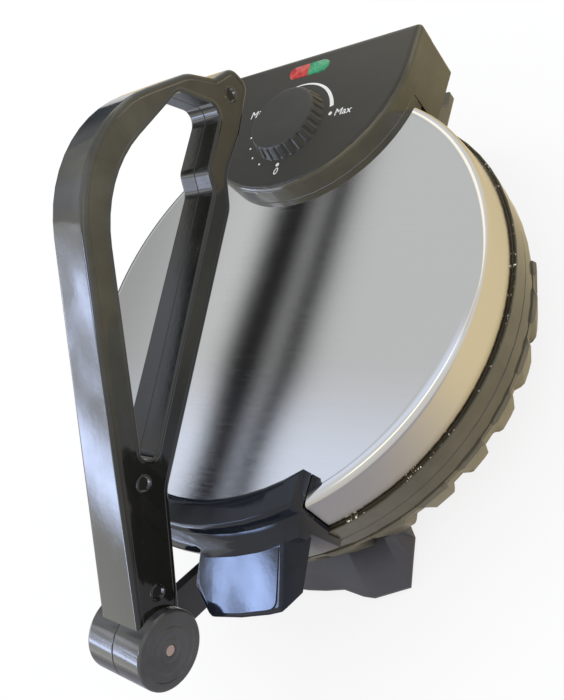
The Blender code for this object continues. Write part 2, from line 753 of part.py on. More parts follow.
def make_bottom(base, matt, steel):
    low = Z_SHELL - FIT - BOTTOM_SHEET
    disc = rod("bottom_cover", BOTTOM_RADIUS, low, low + BOTTOM_SHEET, sides=PLATE_SIDES)
    cover = add("bottom_cover", disc, MIDDLE, matt, base)
    for index in range(BOTTOM_SCREWS):
        angle = math.tau * (index + 0.5) / BOTTOM_SCREWS
        arm = Vector((math.cos(angle), math.sin(angle))) * BOTTOM_SCREW_REACH
        place = (arm.x, LID_Y + arm.y, low - FIT)
        make_screw(f"bottom_screw_{index + 1}", place, "Z", -1, base, steel)
        hole = rod("bottom_screw_hole", SCREW_SHANK_RADIUS + FIT, -OVERRUN, OVERRUN, sides=BORE_SIDES)
        bore = add(f"bottom_bore_{index + 1}", hole, place)
        cut(cover, bore)
        cut(bpy.data.objects["base_shell"], bore)
    return cover


def make_screw(name, seat, axis, outward, owner, steel):
    """A screw whose head lies outside its seat along an axis and whose shank runs in."""
    head = sorted((outward * FIT, outward * (FIT + SCREW_HEAD_HEIGHT)))
    shank = sorted((-outward * SCREW_GRIP, outward * (FIT + SCREW_HEAD_HEIGHT / 2)))
    screw = add(name, rod(name, SCREW_HEAD_RADIUS, *head, axis, HEAD_SIDES), seat, steel, owner)
    stem = rod(name + "_shank", SCREW_SHANK_RADIUS, *shank, axis, BORE_SIDES)
    return combine(screw, add(name + "_shank", stem, seat), "UNION")


def make_gland(base, rubber):
    place = (-GLAND_X, LID_Y + REAR_FACE, Z_STAND + GLAND_RISE)
    bush = rod("cable_gland", GLAND_RADIUS, -GLAND_SEAT, GLAND_LENGTH, "Y")
    gland = add("cable_gland", bush, place, rubber, base)
    gland.rotation_euler = (0, 0, math.pi)
    seat = rod("gland_seat", GLAND_RADIUS + FIT, -GLAND_SEAT - FIT, GLAND_LENGTH, "Y")
    pocket = add("gland_seat", seat, place)
    pocket.rotation_euler = (0, 0, math.pi)
    cut(bpy.data.objects["rear_block"], pocket)
    bore = add("gland_bore", rod("gland_bore", GLAND_BORE, -OVERRUN, OVERRUN, "Y", HEAD_SIDES), place)
    cut(gland, bore)


def make_bracket(base, metal):
    """Upright plate: a tab through the shell's wall, a stem outside it and an arm to the pivot."""
    along = Vector((math.cos(BRACKET_SLOPE), math.sin(BRACKET_SLOPE)))
    across = Vector((-along.y, along.x)) * BRACKET_HALF_BREADTH
    stem = PIVOT_REACH - GRIP_RADIUS - RUN
    front = stem - BRACKET_STEM_WIDTH
    neck = BARREL_RADIUS + RUN
    low = Z_TAB - Z_PIVOT
    high = low + BRACKET_TAB_HEIGHT
    upper = across + along * ((stem - across.x) / along.x)
    lower = -across + along * ((front + across.x) / along.x)
    neck_low = -across + along * math.sqrt(neck**2 - across.length**2)
    neck_front = (math.cos(NECK_FRONT_ANGLE), math.sin(NECK_FRONT_ANGLE))
    inside = BRACKET_HALF_BREADTH / neck
    corners = [
        (*across, 0.0),
        (*upper, BRACKET_BEND),
        (stem, high, 0.0),
        (PIVOT_REACH - TAB_END, high, 0.0),
        (PIVOT_REACH - TAB_END, low, 0.0),
        (front, low, 0.0),
        (*lower, BRACKET_BEND),
        (*neck_low, 0.0),
        (neck * neck_front[0], neck * neck_front[1], 0.0),
        (neck * inside * neck_front[0], neck * inside * neck_front[1], 0.0),
    ]
    half = BRACKET_HALF_THICKNESS
    mesh = slab("lever_bracket", [rounded(corners)], -half, half, 0.0, "X")
    arm = add("lever_bracket", mesh, PIVOT, metal, base)
    wide = KNUCKLE_HALF_WIDTH
    knuckle = add("knuckle", rod("knuckle", KNUCKLE_RADIUS, -wide, wide, "X"), PIVOT)
    bore = rod("knuckle_bore", PIVOT_PIN_RADIUS + FIT, -OVERRUN, OVERRUN, "X", HEAD_SIDES)
    combine(arm, knuckle, "UNION")
    return cut(arm, add("knuckle_bore", bore, PIVOT))


def make_pivot_pin(base, copper):
    half = BARREL_HALF_WIDTH - BARREL_CAP_RECESS / 2
    mesh = rod("pivot_pin", PIVOT_PIN_RADIUS, -half, half, "X", HEAD_SIDES)
    add("pivot_pin", mesh, PIVOT, copper, base)


def lever_half_width(reach):
    """Half width of the lever at a distance behind the pivot: it narrows steadily to the tip."""
    share = reach / LEVER_REACH
    return LEVER_FOOT_HALF + (LEVER_TIP_HALF - LEVER_FOOT_HALF) * share


def lever_outline(shares):
    return rounded([(u * LEVER_REACH, v * LEVER_RISE, radius) for u, v, radius in shares])


def lever_half_mesh(name, sign):
    """Side of the lever, from a little past its seam to its tapered outer face."""
    outlines = [lever_outline(LEVER_SIDE_SHARES), lever_outline(LEVER_LOOP_SHARES)]
    mesh = slab(name, outlines, -LEVER_EDGE * 2, LEVER_FOOT_HALF, LEVER_EDGE, "X")
    for vertex in mesh.vertices:
        vertex.co.x *= sign * lever_half_width(vertex.co.y) / LEVER_FOOT_HALF
    if sign < 0:
        mesh.flip_normals()
    return mesh


def barrel_half(name, sign):
    low, high = sorted((-sign * LEVER_EDGE, sign * BARREL_HALF_WIDTH))
    return add(name, rod(name, BARREL_RADIUS, low, high, "X", PLATE_SIDES), PIVOT)


def seam_cutter(name, sign):
    """Everything on the far side of the seam."""
    far = LEVER_FOOT_HALF + BARREL_HALF_WIDTH
    reach = LEVER_REACH + OVERRUN
    low, high = sorted((sign * SEAM, -sign * far))
    return add(name, block(name, (low, -reach, -reach), (high, reach, reach)), PIVOT)


def barrel_slot():
    """Room inside the barrel for the bracket's knuckle, open below over the lever's whole swing."""
    points = [(0, 0)]
    for step in range(SLOT_SIDES + 1):
        angle = SLOT_START_ANGLE + (SLOT_END_ANGLE - SLOT_START_ANGLE) * step / SLOT_SIDES
        reach = BARREL_RADIUS + BARREL_SLOT_OVERCUT
        points.append((reach * math.cos(angle), reach * math.sin(angle)))
    half = BRACKET_HALF_THICKNESS + RUN
    return add("barrel_slot", slab("barrel_slot", [points], -half, half, 0.0, "X"), PIVOT)


def make_lever(lever, gloss, steel):
    half = BARREL_BORE_HALF
    room = add("barrel_bore", rod("barrel_bore", BARREL_BORE_RADIUS, -half, half, "X"), PIVOT)
    slot = barrel_slot()
    through = BARREL_HALF_WIDTH + OVERRUN
    bore = rod("lever_pin_hole", PIVOT_PIN_RADIUS + FIT, -through, through, "X", HEAD_SIDES)
    pin_hole = add("lever_pin_hole", bore, PIVOT)
    caps = cap_recess()
    holes = lever_screw_holes()
    for side, sign in (("left", -1), ("right", 1)):
        half_lever = add("lever_" + side, lever_half_mesh("lever_" + side, sign), PIVOT, gloss, lever)
        combine(half_lever, barrel_half("barrel_" + side, sign), "UNION")
        cut(half_lever, seam_cutter("seam_" + side, sign), room, slot, pin_hole, caps, *holes)
    for index, (u, v) in enumerate(LEVER_SCREW_SHARES):
        reach, rise = u * LEVER_REACH, v * LEVER_RISE
        seat = (lever_half_width(reach) - SCREW_SINK, PIVOT[1] + reach, PIVOT[2] + rise)
        make_screw(f"lever_screw_{index + 1}", seat, "X", 1, lever, steel)


def cap_recess():
    """Shallow ring sunk into both ends of the barrel."""
    outer, boss = BARREL_CAP_RADIUS, BARREL_CAP_BOSS
    turns = [math.tau * step / PLATE_SIDES for step in range(PLATE_SIDES)]
    circle = [
        [(radius * math.cos(turn), radius * math.sin(turn)) for turn in turns]
        for radius in (outer, boss)
    ]
    end = BARREL_HALF_WIDTH + OVERRUN
    low = BARREL_HALF_WIDTH - BARREL_CAP_RECESS
    right = slab("cap_recess", circle, low, end, 0.0, "X")
    left = slab("cap_recess_left", circle, -end, -low, 0.0, "X")
    both = bmesh.new()
    both.from_mesh(right)
    both.from_mesh(left)
    both.to_mesh(right)
    both.free()
    return add("cap_recess", right, PIVOT)


def lever_screw_holes():
    holes = []
    for index, (u, v) in enumerate(LEVER_SCREW_SHARES):
        reach, rise = u * LEVER_REACH, v * LEVER_RISE
        seat = (lever_half_width(reach) - SCREW_SINK, PIVOT[1] + reach, PIVOT[2] + rise)
        head = rod("lever_screw_recess", SCREW_HEAD_RADIUS + FIT, 0, OVERRUN, "X", HEAD_SIDES)
        stem = SCREW_SHANK_RADIUS + FIT
        shank = rod("lever_screw_bore", stem, -SCREW_GRIP - FIT, OVERRUN, "X", BORE_SIDES)
        holes.append(add(f"lever_screw_recess_{index + 1}", head, seat))
        holes.append(add(f"lever_screw_bore_{index + 1}", shank, seat))
    return holes


def make_steel_cover(lid, steel):
    edge = [
        (LID_RADIUS - COVER_EDGE + COVER_EDGE * across, Z_TOP - COVER_EDGE + COVER_EDGE * up)
        for across, up in COVER_EDGE_SHARES
    ]
    profile = [(0, Z_TOP), *edge, (COVER_FOOT_RADIUS, Z_COVER)]
    cover = turned("steel_cover", profile, MIDDLE, steel, lid, closed=False)
    sheet = cover.modifiers.new("sheet", "SOLIDIFY")
    sheet.thickness = COVER_SHEET
    sheet.offset = -1
    sheet.use_even_offset = True
    outline = d_outline(NECK_RADIUS + NECK_CUT_GAP, NECK_FRONT - NECK_CUT_GAP, REAR_END)
    opening = slab("cover_opening", [outline], Z_COVER - OVERRUN, Z_TOP + OVERRUN)
    return cut(cover, add("cover_opening", opening, MIDDLE))


def make_lid_ring(lid, gloss):
    ledge = Z_LIP + PLATE_INSET + PLATE_THICKNESS + FIT
    seat = PLATE_RADIUS + PLATE_RIM_GAP
    top = Z_TOP - COVER_HEIGHT + UPSTAND_GAP
    inset = COVER_SHEET + FIT
    turned(
        "lid_ring",
        [
            (cover_radius(top) - inset, top),
            (cover_radius(Z_COVER) - inset, Z_COVER - FIT),
            (LIP_RADIUS - LIP_EDGE, Z_COVER - FIT),
            (LIP_RADIUS, Z_COVER - FIT - LIP_EDGE),
            (LIP_RADIUS, Z_LIP + LIP_EDGE),
            (LIP_RADIUS - LIP_EDGE, Z_LIP),
            (seat, Z_LIP),
            (seat, ledge),
            (seat - LEDGE_WIDTH, ledge),
            (seat - LEDGE_WIDTH, ledge + LEDGE_THICKNESS),
            (cover_radius(top) - inset - UPSTAND_WALL, ledge + LEDGE_THICKNESS),
            (cover_radius(top) - inset - UPSTAND_WALL, top),
        ],
        MIDDLE, gloss, lid,
    )


def grip_profile():
    """Section of the grip's band: it hooks over the rim and runs down past the lid's ring."""
    pad = Z_TOP + PAD_RISE
    inner = LID_RADIUS - PAD_WIDTH
    gap = FIT + FIT
    pad_outer = COVER_FOOT_RADIUS + FIT
    low = Z_COVER - GRIP_DROP
    return [
        (inner + PAD_EDGE, pad),
        (pad_outer - PAD_EDGE, pad),
        (pad_outer - PAD_EDGE / 4, pad - PAD_EDGE / 2),
        (pad_outer, Z_TOP + GRIP_LEDGE),
        (GRIP_RADIUS - GRIP_LEDGE, Z_TOP),
        (GRIP_RADIUS, Z_TOP - GRIP_LEDGE),
        (GRIP_RADIUS + GRIP_RIM, Z_TOP - GRIP_LEDGE - GRIP_RIM),
        (GRIP_RADIUS + GRIP_RIM, Z_TOP - GRIP_RIM_HEIGHT),
        (GRIP_RADIUS, Z_TOP - GRIP_RIM_HEIGHT - GRIP_RIM),
        (GRIP_RADIUS, low),
        (GRIP_INNER_RADIUS, low),
        (GRIP_INNER_RADIUS, Z_COVER + FIT),
        (COVER_FOOT_RADIUS + gap, Z_COVER + FIT),
        (LID_RADIUS + gap, Z_TOP - COVER_EDGE),
        (LID_RADIUS - COVER_EDGE / 4 + gap, Z_TOP),
        (LID_RADIUS - COVER_EDGE / 2, Z_TOP + FIT),
        (inner, Z_TOP + FIT),
        (inner, pad - PAD_EDGE),
    ]


def thumb_top(radius):
    """Height of the thumb rest's upper face, which slopes down outwards."""
    return Z_TOP - GRIP_LEDGE - THUMB_STEP - THUMB_SLOPE * (radius - GRIP_RADIUS) / THUMB_REACH


def thumb_profile():
    root = GRIP_RADIUS - GRIP_WALL / 2
    tip = THUMB_RADIUS
    return [
        (root, thumb_top(root)),
        (tip - THUMB_TIP, thumb_top(tip - THUMB_TIP)),
        (tip, thumb_top(tip) - THUMB_TIP),
        (tip - THUMB_UNDERCUT, thumb_top(tip) - THUMB_SLOPE),
        (root, Z_TOP - THUMB_THICKNESS),
    ]


def thumb_plan(name, sign, margin):
    """Upright prism of a thumb rest's plan, drawn in by a margin. Its outer side leans in upwards."""
    plan = [(u * GRIP_HALF_WIDTH, v * THUMB_RADIUS, radius) for u, v, radius in THUMB_PLAN_SHARES]
    middle_u = (min(u for u, v, radius in plan) + max(u for u, v, radius in plan)) / 2
    half_u = max(u for u, v, radius in plan) - middle_u
    narrow = 1 - margin / half_u
    drawn = [
        (middle_u + (u - middle_u) * narrow, v + (margin if v < -GRIP_RADIUS else 0), radius)
        for u, v, radius in plan
    ]
    low, high = Z_TOP - THUMB_THICKNESS * 2, Z_TOP + THUMB_THICKNESS
    mesh = slab(name, [rounded(drawn)], low, high)
    for vertex in mesh.vertices:
        if vertex.co.x > middle_u:
            vertex.co.x -= THUMB_DRAFT * (vertex.co.z - Z_TOP + THUMB_THICKNESS) / THUMB_THICKNESS
        vertex.co.x *= sign
    if sign < 0:
        mesh.flip_normals()
    return add(name, mesh, MIDDLE)


def make_grip(lid, gloss, mirror):
    grip = turned("front_grip", grip_profile(), MIDDLE, gloss, lid)
    reach = THUMB_RADIUS + OVERRUN
    keep = block("grip_keep", (-GRIP_HALF_WIDTH, -reach, 0), (GRIP_HALF_WIDTH, 0, Z_BOX_TOP + OVERRUN))
    combine(grip, add("grip_keep", keep, MIDDLE), "INTERSECT")
    for side, sign in (("left", -1), ("right", 1)):
        rest = turned("thumb_rest_" + side, thumb_profile(), MIDDLE)
        combine(rest, thumb_plan("thumb_keep_" + side, sign, 0.0), "INTERSECT")
        combine(grip, rest, "UNION")
        cut(grip, thumb_inlay("inlay_seat_" + side, sign, FIT))
        thumb_inlay("thumb_plate_" + side, sign, 0.0, mirror, lid)
    return grip


def thumb_inlay(name, sign, gap, material=None, parent=None):
    """The plate let into a thumb rest, or with a gap the seat that is cut for it."""
    inner = GRIP_RADIUS + GRIP_RIM + INLAY_MARGIN - gap
    outer = THUMB_RADIUS - INLAY_MARGIN + gap
    lift = OVERRUN if gap else INLAY_PROUD
    profile = [
        (inner, thumb_top(inner) + lift),
        (outer, thumb_top(outer) + lift),
        (outer, thumb_top(outer) - INLAY_DEPTH - gap),
        (inner, thumb_top(inner) - INLAY_DEPTH - gap),
    ]
    plate = turned(name, profile, MIDDLE, material, parent)
    return combine(plate, thumb_plan(name + "_keep", sign, INLAY_MARGIN - gap), "INTERSECT")


def make_control_box(lid, gloss):
    """Hollow box on the lid's rear: an overhanging top, a neck through the cover and a hinge below."""
    top_outline = d_outline(BOX_RADIUS, BOX_FRONT_REACH, BOX_REAR)
    box = add(
        "control_box",
        slab("control_box", [top_outline], Z_TOP + BOX_LIFT, Z_BOX_TOP, BOX_EDGE),
        MIDDLE, gloss, lid,
    )
    low = Z_BOX_FLOOR
    inside_top = Z_TOP + BOX_LIFT + BOX_EDGE * 2
    neck_outline = d_outline(NECK_RADIUS, NECK_FRONT, BOX_REAR - BOX_WALL / 2)
    neck = add("box_neck", slab("box_neck", [neck_outline], low + FIT, inside_top + FIT), MIDDLE)
    side_outline = d_outline(BOX_RADIUS, BOX_FRONT_REACH, BOX_REAR, FIT / 2)
    sides = add("box_sides", slab("box_sides", [side_outline], low, inside_top), MIDDLE)
    round_gap = rod("box_round_gap", COVER_FOOT_RADIUS + RUN, low - OVERRUN, Z_BOX_TOP, sides=BIG_SIDES)
    cut(sides, add("box_round_gap", round_gap, MIDDLE))
    combine(box, neck, "UNION")
    combine(box, sides, "UNION")
    for sign in (-1, 1):
        combine(box, lug_shape(f"hinge_lug_{sign}", sign * LUG_X), "UNION")
    wide = cover_radius(Z_COVER)
    lid_room = rod("box_lid_room", wide, low - OVERRUN, Z_TOP - NECK_DEPTH, sides=BIG_SIDES)
    room_outline = d_outline(NECK_RADIUS, NECK_FRONT, BOX_REAR, BOX_WALL)
    ceiling = Z_BOX_TOP - PANEL_THICKNESS - FIT - BOX_WALL
    room = slab("box_room", [room_outline], low + BOX_WALL, ceiling)
    cut(box, add("box_lid_room", lid_room, MIDDLE), add("box_room", room, MIDDLE))
    panel_seat = d_outline(BOX_RADIUS, BOX_FRONT_REACH, BOX_REAR, PANEL_INSET - FIT)
    seat = slab("panel_seat", [panel_seat], Z_BOX_TOP - PANEL_THICKNESS - FIT, Z_BOX_TOP + OVERRUN)
    cut(box, add("panel_seat", seat, MIDDLE))
    past = BOX_RADIUS + OVERRUN
    bore = rod("lug_bore", HINGE_PIN_RADIUS + FIT, -past, past, "X", BORE_SIDES)
    return cut(box, add("lug_bore", bore, HINGE))


def lug_shape(name, middle):
    """A hinge lug that hangs from the control box round the axis."""
    root = Z_BOX_FLOOR - Z_HINGE + BOX_WALL / 2
    points = [(EAR_RADIUS, root), (-EAR_RADIUS, root)]
    for step in range(ROUND_SIDES // 2 + 1):
        angle = math.pi + math.pi * step / (ROUND_SIDES // 2)
        points.append((EAR_RADIUS * math.cos(angle), EAR_RADIUS * math.sin(angle)))
    half = LUG_WIDTH / 2
    return add(name, slab(name, [points], middle - half, middle + half, 0.0, "X"), HINGE)


def make_panel(lid, panel_black):
    outline = d_outline(BOX_RADIUS, BOX_FRONT_REACH, BOX_REAR, PANEL_INSET)
    panel = add(
        "control_panel",
        slab("control_panel", [outline], Z_BOX_TOP - PANEL_THICKNESS, Z_BOX_TOP, FIT),
        MIDDLE, panel_black, lid,
    )
    shaft_hole = add("shaft_hole", rod("shaft_hole", SHAFT_RADIUS + FIT, -OVERRUN, OVERRUN), KNOB_BASE)
    lamp_hole = slab("lamp_hole", [pill(FIT)], Z_BOX_TOP - LAMP_DEPTH - FIT, Z_BOX_TOP + OVERRUN)
    window = add("lamp_hole", lamp_hole, MIDDLE)
    cut(panel, shaft_hole, window)
    cut(bpy.data.objects["control_box"], shaft_hole, window)


def pill(gap, low_side=True, high_side=True):
    """Outline of the lamp window, or of one half of it, grown by a gap."""
    radius = LAMP_WIDTH / 2
    straight = LAMP_LENGTH / 2 - radius
    points = []
    ends = ((1, high_side), (-1, low_side))
    for sign, is_round in ends:
        if not is_round:
            points += [(0, LAMP_REACH + sign * radius), (0, LAMP_REACH - sign * radius)]
            continue
        for step in range(CORNER_STEPS * 2 + 1):
            angle = math.pi / 2 - math.pi * step / (CORNER_STEPS * 2)
            points.append((
                sign * (straight + (radius + gap) * math.cos(angle)),
                LAMP_REACH + sign * (radius + gap) * math.sin(angle),
            ))
    return points


def make_lamps(lid, red, green):
    low = Z_BOX_TOP - LAMP_DEPTH
    high = Z_BOX_TOP + LAMP_PROUD
    for name, sign, colour in (("lamp_red", -1, red), ("lamp_green", 1, green)):
        outline = [(u + sign * SEAM, v) for u, v in pill(-SEAM, sign < 0, sign > 0)]
        add(name, slab(name, [outline], low, high, LAMP_EDGE), MIDDLE, colour, lid)


def knob_outline():
    """Circle with shallow flutes: one raised and one sunk stretch for each ridge."""
    points = []
    for ridge in range(KNOB_RIDGES):
        for share, sunk in KNOB_FLUTE_SHARES:
            angle = math.tau * (ridge + share) / KNOB_RIDGES
            radius = KNOB_RADIUS - KNOB_RIDGE_DEPTH * sunk
            points.append((radius * math.cos(angle), radius * math.sin(angle)))
    return points


def make_knob(dial, matt, steel):
    """Fluted knob, hollow below for its shaft, with the shaft in the thermostat."""
    mesh = slab("knob", [knob_outline()], FIT, KNOB_HEIGHT, KNOB_EDGE)
    for vertex in mesh.vertices:
        share = vertex.co.z / KNOB_HEIGHT
        narrow = 1 - (1 - KNOB_TAPER_SHARE) * share
        vertex.co.x *= narrow
        vertex.co.y *= narrow
    knob = add("knob", mesh, KNOB_BASE, matt, dial)
    shaft_top = KNOB_HEIGHT - KNOB_CAP_SHEET - FIT
    bore = rod("knob_bore", SHAFT_RADIUS + FIT, -OVERRUN, shaft_top + FIT)
    cut(knob, add("knob_bore", bore, KNOB_BASE))
    shaft_low = -(PANEL_THICKNESS + FIT + BOX_WALL + FIT + THERMOSTAT_HEIGHT) + THERMOSTAT_WALL + FIT
    stem = rod("knob_shaft", SHAFT_RADIUS, shaft_low, shaft_top)
    shaft = add("knob_shaft", stem, KNOB_BASE, steel, dial)
    collar_low = shaft_low + SHAFT_COLLAR
    collar = rod("shaft_collar", SHAFT_RADIUS + SHAFT_COLLAR, shaft_low, collar_low)
    combine(shaft, add("shaft_collar", collar, KNOB_BASE), "UNION")


def make_thermostat(lid, dull):
    top = -(PANEL_THICKNESS + FIT + BOX_WALL + FIT)
    low = top - THERMOSTAT_HEIGHT
    body = add("thermostat", rod("thermostat", THERMOSTAT_RADIUS, low, top), KNOB_BASE, dull, lid)
    bore = rod("thermostat_bore", SHAFT_RADIUS + FIT, low + THERMOSTAT_WALL, OVERRUN)
    wide = rod(
        "thermostat_room", SHAFT_RADIUS + SHAFT_COLLAR + FIT,
        low + THERMOSTAT_WALL, low + THERMOSTAT_WALL + SHAFT_COLLAR + FIT * 2,
    )
    cut(body, add("thermostat_bore", bore, KNOB_BASE), add("thermostat_room", wide, KNOB_BASE))


def build():
    clear_scene()
    gloss = finish("gloss_black", (0.020, 0.019, 0.016), 0.16)
    matt = finish("matt_black", (0.030, 0.028, 0.030), 0.45)
    panel_black = finish("panel_black", (0.032, 0.031, 0.028), 0.38)
    mirror = finish("thumb_gloss", (0.030, 0.045, 0.110), 0.08)
    brushed = finish("brushed_steel", (0.62, 0.61, 0.58), 0.30, 1.0)
    steel = finish("plain_steel", (0.55, 0.54, 0.52), 0.35, 1.0)
    copper = finish("copper", (0.62, 0.42, 0.32), 0.35, 1.0)
    bracket_metal = finish("bracket_black", (0.022, 0.021, 0.024), 0.35)
    coated = finish("nonstick", (0.035, 0.034, 0.034), 0.40, 0.2)
    dull = finish("element_grey", (0.30, 0.29, 0.28), 0.50, 0.8)
    rubber = finish("rubber", (0.020, 0.020, 0.020), 0.80)
    red = finish("red_lens", (0.55, 0.02, 0.02), 0.15)
    green = finish("green_lens", (0.02, 0.30, 0.12), 0.15)

    base = axis_empty("base_frame", MIDDLE)
    lid = axis_empty("lid_hinge_axis", HINGE)
    lever = axis_empty("lever_hinge_axis", PIVOT)
    dial = axis_empty("knob_axis", KNOB_BASE)
    bpy.context.view_layer.update()

    make_base_shell(base, matt)
    make_base_ring(base, gloss)
    make_plates(base, lid, coated, steel, dull)
    make_front_stand(base, matt)
    make_feet(base, rubber)
    make_rear_block(base, matt)
    make_hinge_pins(base, steel)
    make_bottom(base, matt, steel)
    make_gland(base, rubber)
    make_bracket(base, bracket_metal)
    make_pivot_pin(base, copper)
    make_lever(lever, gloss, steel)
    make_steel_cover(lid, brushed)
    make_lid_ring(lid, gloss)
    make_grip(lid, gloss, mirror)
    make_control_box(lid, gloss)
    make_panel(lid, panel_black)
    make_lamps(lid, red, green)
    make_knob(dial, matt, steel)
    make_thermostat(lid, dull)


build()
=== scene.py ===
"""Electric flatbread maker in a plain studio: camera, light, finishes, dial print and fine pieces."""

import json
import math
import random

import bmesh
import bpy
from mathutils import Matrix, Vector

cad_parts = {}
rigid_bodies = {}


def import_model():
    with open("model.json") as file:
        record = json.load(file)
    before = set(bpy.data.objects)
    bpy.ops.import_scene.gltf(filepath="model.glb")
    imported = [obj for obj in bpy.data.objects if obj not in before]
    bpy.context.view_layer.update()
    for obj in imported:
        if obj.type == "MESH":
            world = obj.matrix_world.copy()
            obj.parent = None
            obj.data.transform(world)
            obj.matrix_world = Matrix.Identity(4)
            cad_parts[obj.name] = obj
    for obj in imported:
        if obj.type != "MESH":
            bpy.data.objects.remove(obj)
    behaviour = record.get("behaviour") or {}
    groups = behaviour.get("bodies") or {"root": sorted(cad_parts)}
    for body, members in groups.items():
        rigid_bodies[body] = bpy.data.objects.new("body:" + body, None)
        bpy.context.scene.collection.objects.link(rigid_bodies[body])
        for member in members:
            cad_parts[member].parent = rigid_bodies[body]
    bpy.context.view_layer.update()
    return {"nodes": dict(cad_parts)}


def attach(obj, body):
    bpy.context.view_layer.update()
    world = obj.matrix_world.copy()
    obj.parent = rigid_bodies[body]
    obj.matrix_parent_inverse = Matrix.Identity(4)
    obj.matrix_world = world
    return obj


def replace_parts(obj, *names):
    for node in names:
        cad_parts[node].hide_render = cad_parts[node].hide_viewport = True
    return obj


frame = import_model()
NODES = frame["nodes"]

# Middle of the lid, then heights of the steel's flat top, its lower rim and the panel's top, in metres
LID_Y = 0.02225
Z_TOP = 0.098
Z_COVER = 0.0719
Z_PANEL = 0.117
LID_MIDDLE = Matrix.Translation((0.0, LID_Y, 0.0))
IN_PLACE = Matrix.Identity(4)

# Middle of the knob on the panel and of the lever's pivot
DIAL = Vector((0.0, LID_Y + 0.1045, Z_PANEL))
PIVOT = Vector((0.0, -0.17605, 0.0956))

# Stands a side view, drawn as (y, z) with its thickness along x, upright in the frame
FROM_SIDE = Matrix(((0, 0, 1, 0), (1, 0, 0, 0), (0, 1, 0, 0), (0, 0, 0, 1)))
AT_PIVOT = Matrix.Translation(PIVOT) @ FROM_SIDE

# Control box: radius and middle of its front arc, its back face, and the radius of its rear corners with
# the least that this shrinks to
BOX_RADIUS = 0.0773
BOX_ARC_Y = LID_Y + 0.13585
BOX_BACK_Y = LID_Y + 0.16255
BOX_CORNER = 0.004
BOX_LEAST_CORNER = 0.0008

# Folds sharper than these stay sharp, on the fine pieces and on the CAD nodes
PIECE_FOLD = math.radians(38)
NODE_FOLD = math.radians(32)

# Corners nearer to each other than this become one, in the fine pieces' own rings and in CAD nodes
RING_WELD = 0.000001
NODE_WELD = 0.00002

# Half the thickness of the print, and its height
PRINT_HALF = 0.00003
PRINT_Z = Z_PANEL + 0.00005

# Stretch of the ceiling, from left to right, whose beams streak the steel
BEAM_LOW = -1.763
BEAM_HIGH = -0.784

BLACK = (0.0, 0.0, 0.0)
WHITE = (1.0, 1.0, 1.0)


class Value:
    """A shader socket that takes part in plain arithmetic."""

    def __init__(self, finish, socket):
        self.finish = finish
        self.socket = socket

    def __add__(self, other):
        return self.finish.math("ADD", self, other)

    def __radd__(self, other):
        return self.finish.math("ADD", other, self)

    def __sub__(self, other):
        return self.finish.math("SUBTRACT", self, other)

    def __rsub__(self, other):
        return self.finish.math("SUBTRACT", other, self)

    def __mul__(self, other):
        return self.finish.math("MULTIPLY", self, other)

    def __rmul__(self, other):
        return self.finish.math("MULTIPLY", other, self)

    def __truediv__(self, other):
        return self.finish.math("DIVIDE", self, other)

    def above(self, low, high):
        """0 below low, 1 above high and smooth between them."""
        settings = {"interpolation_type": "SMOOTHSTEP"}
        sockets = {"Value": self, "From Min": low, "From Max": high}
        return self.finish.node("ShaderNodeMapRange", settings, sockets)


class Finish:
    """The node tree of a material or a world, written one expression at a time."""

    def __init__(self, tree):
        self.tree = tree

    def node(self, kind, settings=None, sockets=None, out=0):
        made = self.tree.nodes.new(kind)
        for name, setting in (settings or {}).items():
            if name == "stops":
                self.stops(made.color_ramp, setting)
            else:
                setattr(made, name, setting)
        for name, value in (sockets or {}).items():
            self.feed(made.inputs[name], value)
        return Value(self, made.outputs[out])

    def stops(self, ramp, stops):
        while len(ramp.elements) < len(stops):
            ramp.elements.new(1.0)
        for element, (place, grey) in zip(ramp.elements, stops):
            element.position = place
            element.color = (grey, grey, grey, 1.0)

    def feed(self, socket, value):
        if isinstance(value, Value):
            self.tree.links.new(value.socket, socket)
        elif isinstance(value, tuple) and len(value) == 3 and socket.type == "RGBA":
            socket.default_value = (*value, 1.0)
        else:
            socket.default_value = value

    def show(self, output, shader):
        """Ends the tree in its output node."""
        self.feed(self.tree.nodes.new(output).inputs["Surface"], shader)

    def math(self, operation, *values):
        return self.node("ShaderNodeMath", {"operation": operation}, dict(enumerate(values)))

    def place(self):
        """The point in the frame at rest."""
        return self.node("ShaderNodeTexCoord", out="Object")

    def parts(self, vector):
        """The three numbers of a point or direction."""
        split = self.node("ShaderNodeSeparateXYZ", None, {"Vector": vector})
        return [Value(self, socket) for socket in split.socket.node.outputs]

    def point(self, x, y):
        """A point made from two numbers, at which a pattern is looked up."""
        return self.node("ShaderNodeCombineXYZ", None, {"X": x, "Y": y})

    def stretched(self, vector, scale):
        return self.node("ShaderNodeMapping", None, {"Vector": vector, "Scale": scale})

    def noise(self, vector, scale, detail, roughness):
        sockets = {"Vector": vector, "Scale": scale, "Detail": detail, "Roughness": roughness}
        return self.node("ShaderNodeTexNoise", None, sockets)

    def mix(self, share, low, high):
        """A colour between two colours."""
        return self.node("ShaderNodeMix", {"data_type": "RGBA"}, {0: share, 6: low, 7: high}, out=2)

    def either(self, share, low, high):
        """A shader between two shaders."""
        return self.node("ShaderNodeMixShader", None, {0: share, 1: low, 2: high})

    def bump(self, height, distance, strength):
        sockets = {"Height": height, "Distance": distance, "Strength": strength}
        return self.node("ShaderNodeBump", None, sockets)

    def shine(self, colour):
        """A shader that only gives off light."""
        return self.node("ShaderNodeEmission", None, {"Color": colour, "Strength": 1.0})


class Surface(Finish):
    """A finish of the object: one Principled shader with constant and varying sockets."""

    def __init__(self, name, **sockets):
        self.material = bpy.data.materials.new(name)
        self.material.use_nodes = True
        super().__init__(self.material.node_tree)
        self.shader = self.tree.nodes["Principled BSDF"]
        self.set(**sockets)

    def set(self, **sockets):
        for name, value in sockets.items():
            self.feed(self.shader.inputs[name.replace("_", " ")], value)


